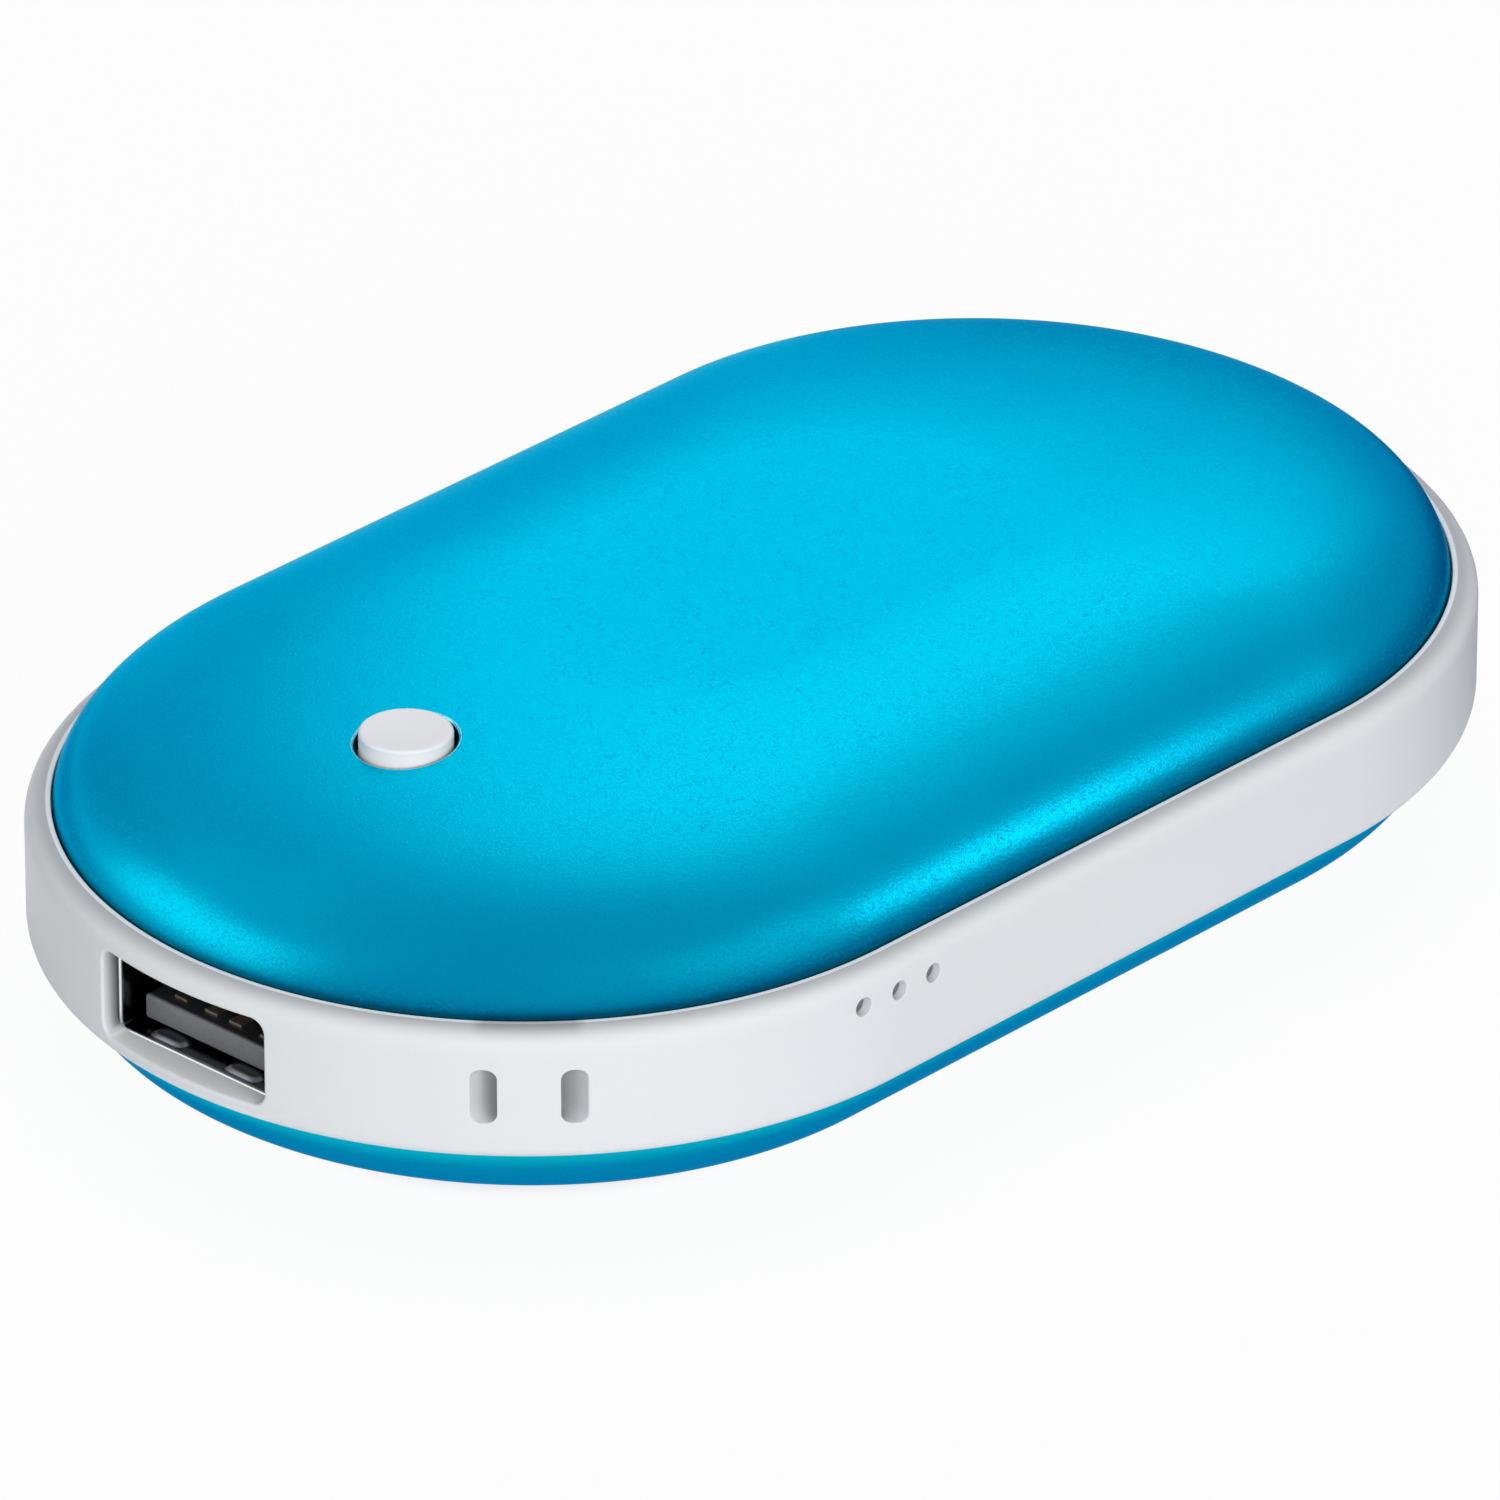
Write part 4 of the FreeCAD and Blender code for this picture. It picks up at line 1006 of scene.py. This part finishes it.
view_azimuth, view_elevation = -46.82, 27.99
middle = np.array([0, 0, lift * 0.001])


def studio_direction(azimuth, elevation):
    """Direction counted from the camera: 0 is towards it, 90 to its right, 180 behind the object."""
    return camera_back(view_azimuth + azimuth, elevation)


def softbox(name, azimuth, elevation, distance, size, power):
    """Rectangular lamp at a studio direction, facing the object and not seen in mirrors."""
    lamp = bpy.data.lights.new(name, "AREA")
    lamp.shape = "RECTANGLE"
    lamp.size, lamp.size_y = size
    lamp.energy = power
    item = bpy.data.objects.new(name, lamp)
    bpy.context.collection.objects.link(item)
    aim(item, middle + studio_direction(azimuth, elevation) * distance, middle)
    item.visible_glossy = False
    item.visible_camera = False


camera_data = bpy.data.cameras.new("camera")
camera_data.sensor_width = 36.0
camera_data.lens = 398.7
camera_data.shift_x = -0.00706
camera_data.shift_y = -0.00769
camera = bpy.data.objects.new("camera", camera_data)
bpy.context.collection.objects.link(camera)
aim(camera, middle + camera_back(view_azimuth, view_elevation), middle)
bpy.context.scene.camera = camera


def seen_directly(finish):
    """1 for camera, glossy and transmission rays, 0 for the rays that only light things."""
    path = finish.node("ShaderNodeLightPath")
    rays = [Sock(finish, path.socket.node.outputs[name])
            for name in ("Is Camera Ray", "Is Glossy Ray", "Is Transmission Ray")]
    any_ray = rays[0] + rays[1] + rays[2]
    return finish.node("ShaderNodeMath", {"operation": "MINIMUM"}, {0: any_ray, 1: 1.0})


def floor_finish():
    """Pale floor: mostly its own white for rays that see it and the rest lit, so that it keeps the
    shadow; a painted shadow in that white right under the case, and clear from below."""
    f = Finish("floor_pale")
    seen = seen_directly(f)
    place = f.place()
    x, y = (axis_of(f, place, name) for name in "XY")
    # Painted shadow: the floor's own white is grey right under the case.
    outside = f.span(reach_of(past_end(f, x), y), 14.0, 20.0)
    own = f.mix(outside, (0.43, 0.43, 0.55), (1.0, 1.0, 1.0))
    lit = f.node("ShaderNodeBsdfDiffuse", {}, {"Color": (0.86, 0.86, 0.86, 1)})
    white = f.node("ShaderNodeEmission", {}, {"Color": own, "Strength": 1.0})
    face = f.node("ShaderNodeMixShader", {}, {0: seen * 0.95, 1: lit, 2: white})
    behind = f.node("ShaderNodeNewGeometry", output="Backfacing")
    clear = f.node("ShaderNodeBsdfTransparent")
    shown = f.node("ShaderNodeMixShader", {}, {0: behind, 1: face, 2: clear})
    f.node("ShaderNodeOutputMaterial", {}, {"Surface": shown})
    return f.material


def add_floor():
    """Flat floor under the object."""
    mesh = bpy.data.meshes.new("floor")
    corners = np.array([[-1, -1, 0], [1, -1, 0], [1, 1, 0], [-1, 1, 0]]) * 12.0
    mesh.from_pydata(corners.tolist(), [], [(0, 1, 2, 3)])
    mesh.materials.append(floor_finish())
    floor = bpy.data.objects.new("floor", mesh)
    bpy.context.collection.objects.link(floor)


def add_glow_panel(name, points, quads, level):
    """Even panel that is seen only in reflections, cooler where it is darker."""
    mesh = bpy.data.meshes.new(name)
    mesh.from_pydata(points.tolist(), [], quads.tolist())
    f = Finish(name)
    cool = (level, level, level ** 0.68 if level < 1 else level, 1)
    glow = f.node("ShaderNodeEmission", {}, {"Color": cool, "Strength": 1.0})
    f.node("ShaderNodeOutputMaterial", {}, {"Surface": glow})
    mesh.materials.append(f.material)
    panel = bpy.data.objects.new(name, mesh)
    bpy.context.collection.objects.link(panel)
    panel.visible_camera = False
    panel.visible_diffuse = False
    panel.visible_shadow = False
    panel.visible_transmission = False


def add_flags(level, fields):
    """Grey studio flags: a dome of panels over azimuth and elevation, counted from the camera. Each
    field of it has its own grey, and a field of 1 is open to the white beyond."""
    azimuth = np.arange(-180, 181, 4.0)
    elevation = np.arange(0, 91, 3.0)
    a, e = np.meshgrid(np.radians(azimuth + view_azimuth), np.radians(elevation), indexing="ij")
    points = 3.0 * np.stack([np.sin(a) * np.cos(e), -np.cos(a) * np.cos(e), np.sin(e)], axis=-1)
    number = np.arange(a.size).reshape(a.shape)
    quads = np.stack([number[:-1, :-1], number[1:, :-1], number[1:, 1:], number[:-1, 1:]], axis=-1)
    mid_a = (azimuth[:-1, None] + azimuth[1:, None]) / 2
    mid_e = (elevation[None, :-1] + elevation[None, 1:]) / 2
    greys = np.full(quads.shape[:2], level)
    for a0, a1, e0, e1, grey in fields:
        greys[(mid_a > a0) & (mid_a < a1) & (mid_e > e0) & (mid_e < e1)] = grey
    for step, grey in enumerate(np.unique(greys[greys != 1])):
        add_glow_panel("studio_flag_%d" % step, points.reshape(-1, 3), quads[greys == grey], float(grey))


def add_floor_card(name, start, end, level, low, high):
    """Card on the floor between two distances from the case's outline and two azimuths counted from
    the camera: a stadium ring whose distance grows as a power, cut to a sector."""
    turn, shift = ring_places(180, half_width, end_center)
    out = np.linspace(0, 1, 12)[:, None] ** 2 * (end - start) + start
    x, y = stadium(turn, shift, half_width + out, end_center)
    points = np.stack([x, y, 0 * x + 0.2], axis=-1).reshape(-1, 3) * 0.001
    quads = strip_quads(np.arange(len(points)).reshape(out.size, turn.size))
    center = points[quads].mean(axis=1)
    azimuth = np.degrees(np.arctan2(center[:, 0], -center[:, 1])) - view_azimuth
    azimuth = (azimuth + 180) % 360 - 180
    add_glow_panel(name, points, quads[(azimuth > low) & (azimuth < high)], level)


def add_near_card(name, spot, azimuth, elevation, distance, size, level):
    """Small card near the case, square to a studio direction as seen from a spot on the case."""
    toward = studio_direction(azimuth, elevation)
    across = np.cross([0, 0, 1], toward)
    across = across / np.linalg.norm(across)
    up = np.cross(toward, across)
    center = np.array(spot) + [0, 0, lift] + distance * toward
    corners = np.array([[-1, -1], [1, -1], [1, 1], [-1, 1]]) * np.array(size) / 2
    points = center + corners[:, :1] * across + corners[:, 1:] * up
    add_glow_panel(name, points * 0.001, np.array([[0, 1, 2, 3]]), level)


def light_world(fill):
    """White where it is seen, directly or in a mirror, and a plain fill light otherwise."""
    world = bpy.data.worlds.new("studio")
    bpy.context.scene.world = world
    world.use_nodes = True
    f = Finish("studio", world.node_tree)
    strength = seen_directly(f) * (1 - fill) + fill
    back = f.node("ShaderNodeBackground", {}, {"Color": (1, 1, 1, 1), "Strength": strength})
    f.node("ShaderNodeOutputWorld", {}, {"Surface": back})


# Grey of the studio's fields: first and last azimuth, first and last elevation, level. Later rows win.
studio_fields = [
    # Low down, all round but for the back
    (-60, 88, 0, 9, 0.14), (88, 140, 0, 6, 0.2), (88, 140, 6, 18, 0.35), (-140, -60, 0, 9, 0.71),
    # In front and to the right
    (-10, 66, 9, 24, 0.46), (0, 36, 24, 60, 0.44), (36, 66, 24, 52, 0.72), (66, 90, 31, 48, 1.0),
    # High at the right, the bright window at the left, and the right again
    (15, 135, 62, 84, 0.43), (-112, -58, 6, 36, 1.35), (56, 78, 14, 31, 0.7), (78, 104, 14, 31, 0.42),
    # Bright window at the back, and its surround
    (146, 180, 26, 56, 1.36), (-180, -170, 26, 56, 1.5), (146, 180, 18, 26, 0.75),
    (146, 166, 18, 34, 0.6), (-180, -170, 18, 26, 1.05), (-180, -156, 3, 18, 0.72),
    (-170, -150, 26, 50, 0.44),
    # High at the left
    (-150, -95, 38, 66, 0.55), (-95, -40, 38, 66, 0.45),
    # From the right round to the back
    (90, 100, 31, 50, 0.3), (100, 124, 34, 62, 0.47), (124, 146, 40, 62, 0.8), (146, 180, 56, 69, 0.85),
]

add_floor()
add_flags(0.38, studio_fields)
# This grey card close round and under the case is a painted shadow of the case on the floor, seen only in
# reflections.
add_floor_card("floor_card_painted_shadow", -17, 9, 0.41, -180, 180)
add_floor_card("floor_card_mid", 22, 50, 0.13, 18, 75)
add_floor_card("floor_card_edge", 9, 85, 0.06, 75, 155)
add_floor_card("floor_card_left", 50, 2900, 0.28, -140, -70)
add_floor_card("floor_card_front", 50, 2900, 0.12, -70, 75)
add_floor_card("floor_card_right", 85, 2900, 0.18, 75, 155)
add_floor_card("floor_card_back", 50, 2900, 0.45, 155, 180)
add_near_card("near_card", (-9, -27, 6.5), 91, 22, 90, (17, 26), 3.6)
light_world(0.27)
softbox("front_fill", 11, 20, 1.4, (1.5, 0.7), 13.7)
softbox("overhead_fill", 0, 85, 1.5, (0.9, 0.9), 4.9)
softbox("back_fill", 190, 12, 1.4, (1.5, 0.7), 7.5)

bpy.context.scene.view_settings.view_transform = "Standard"
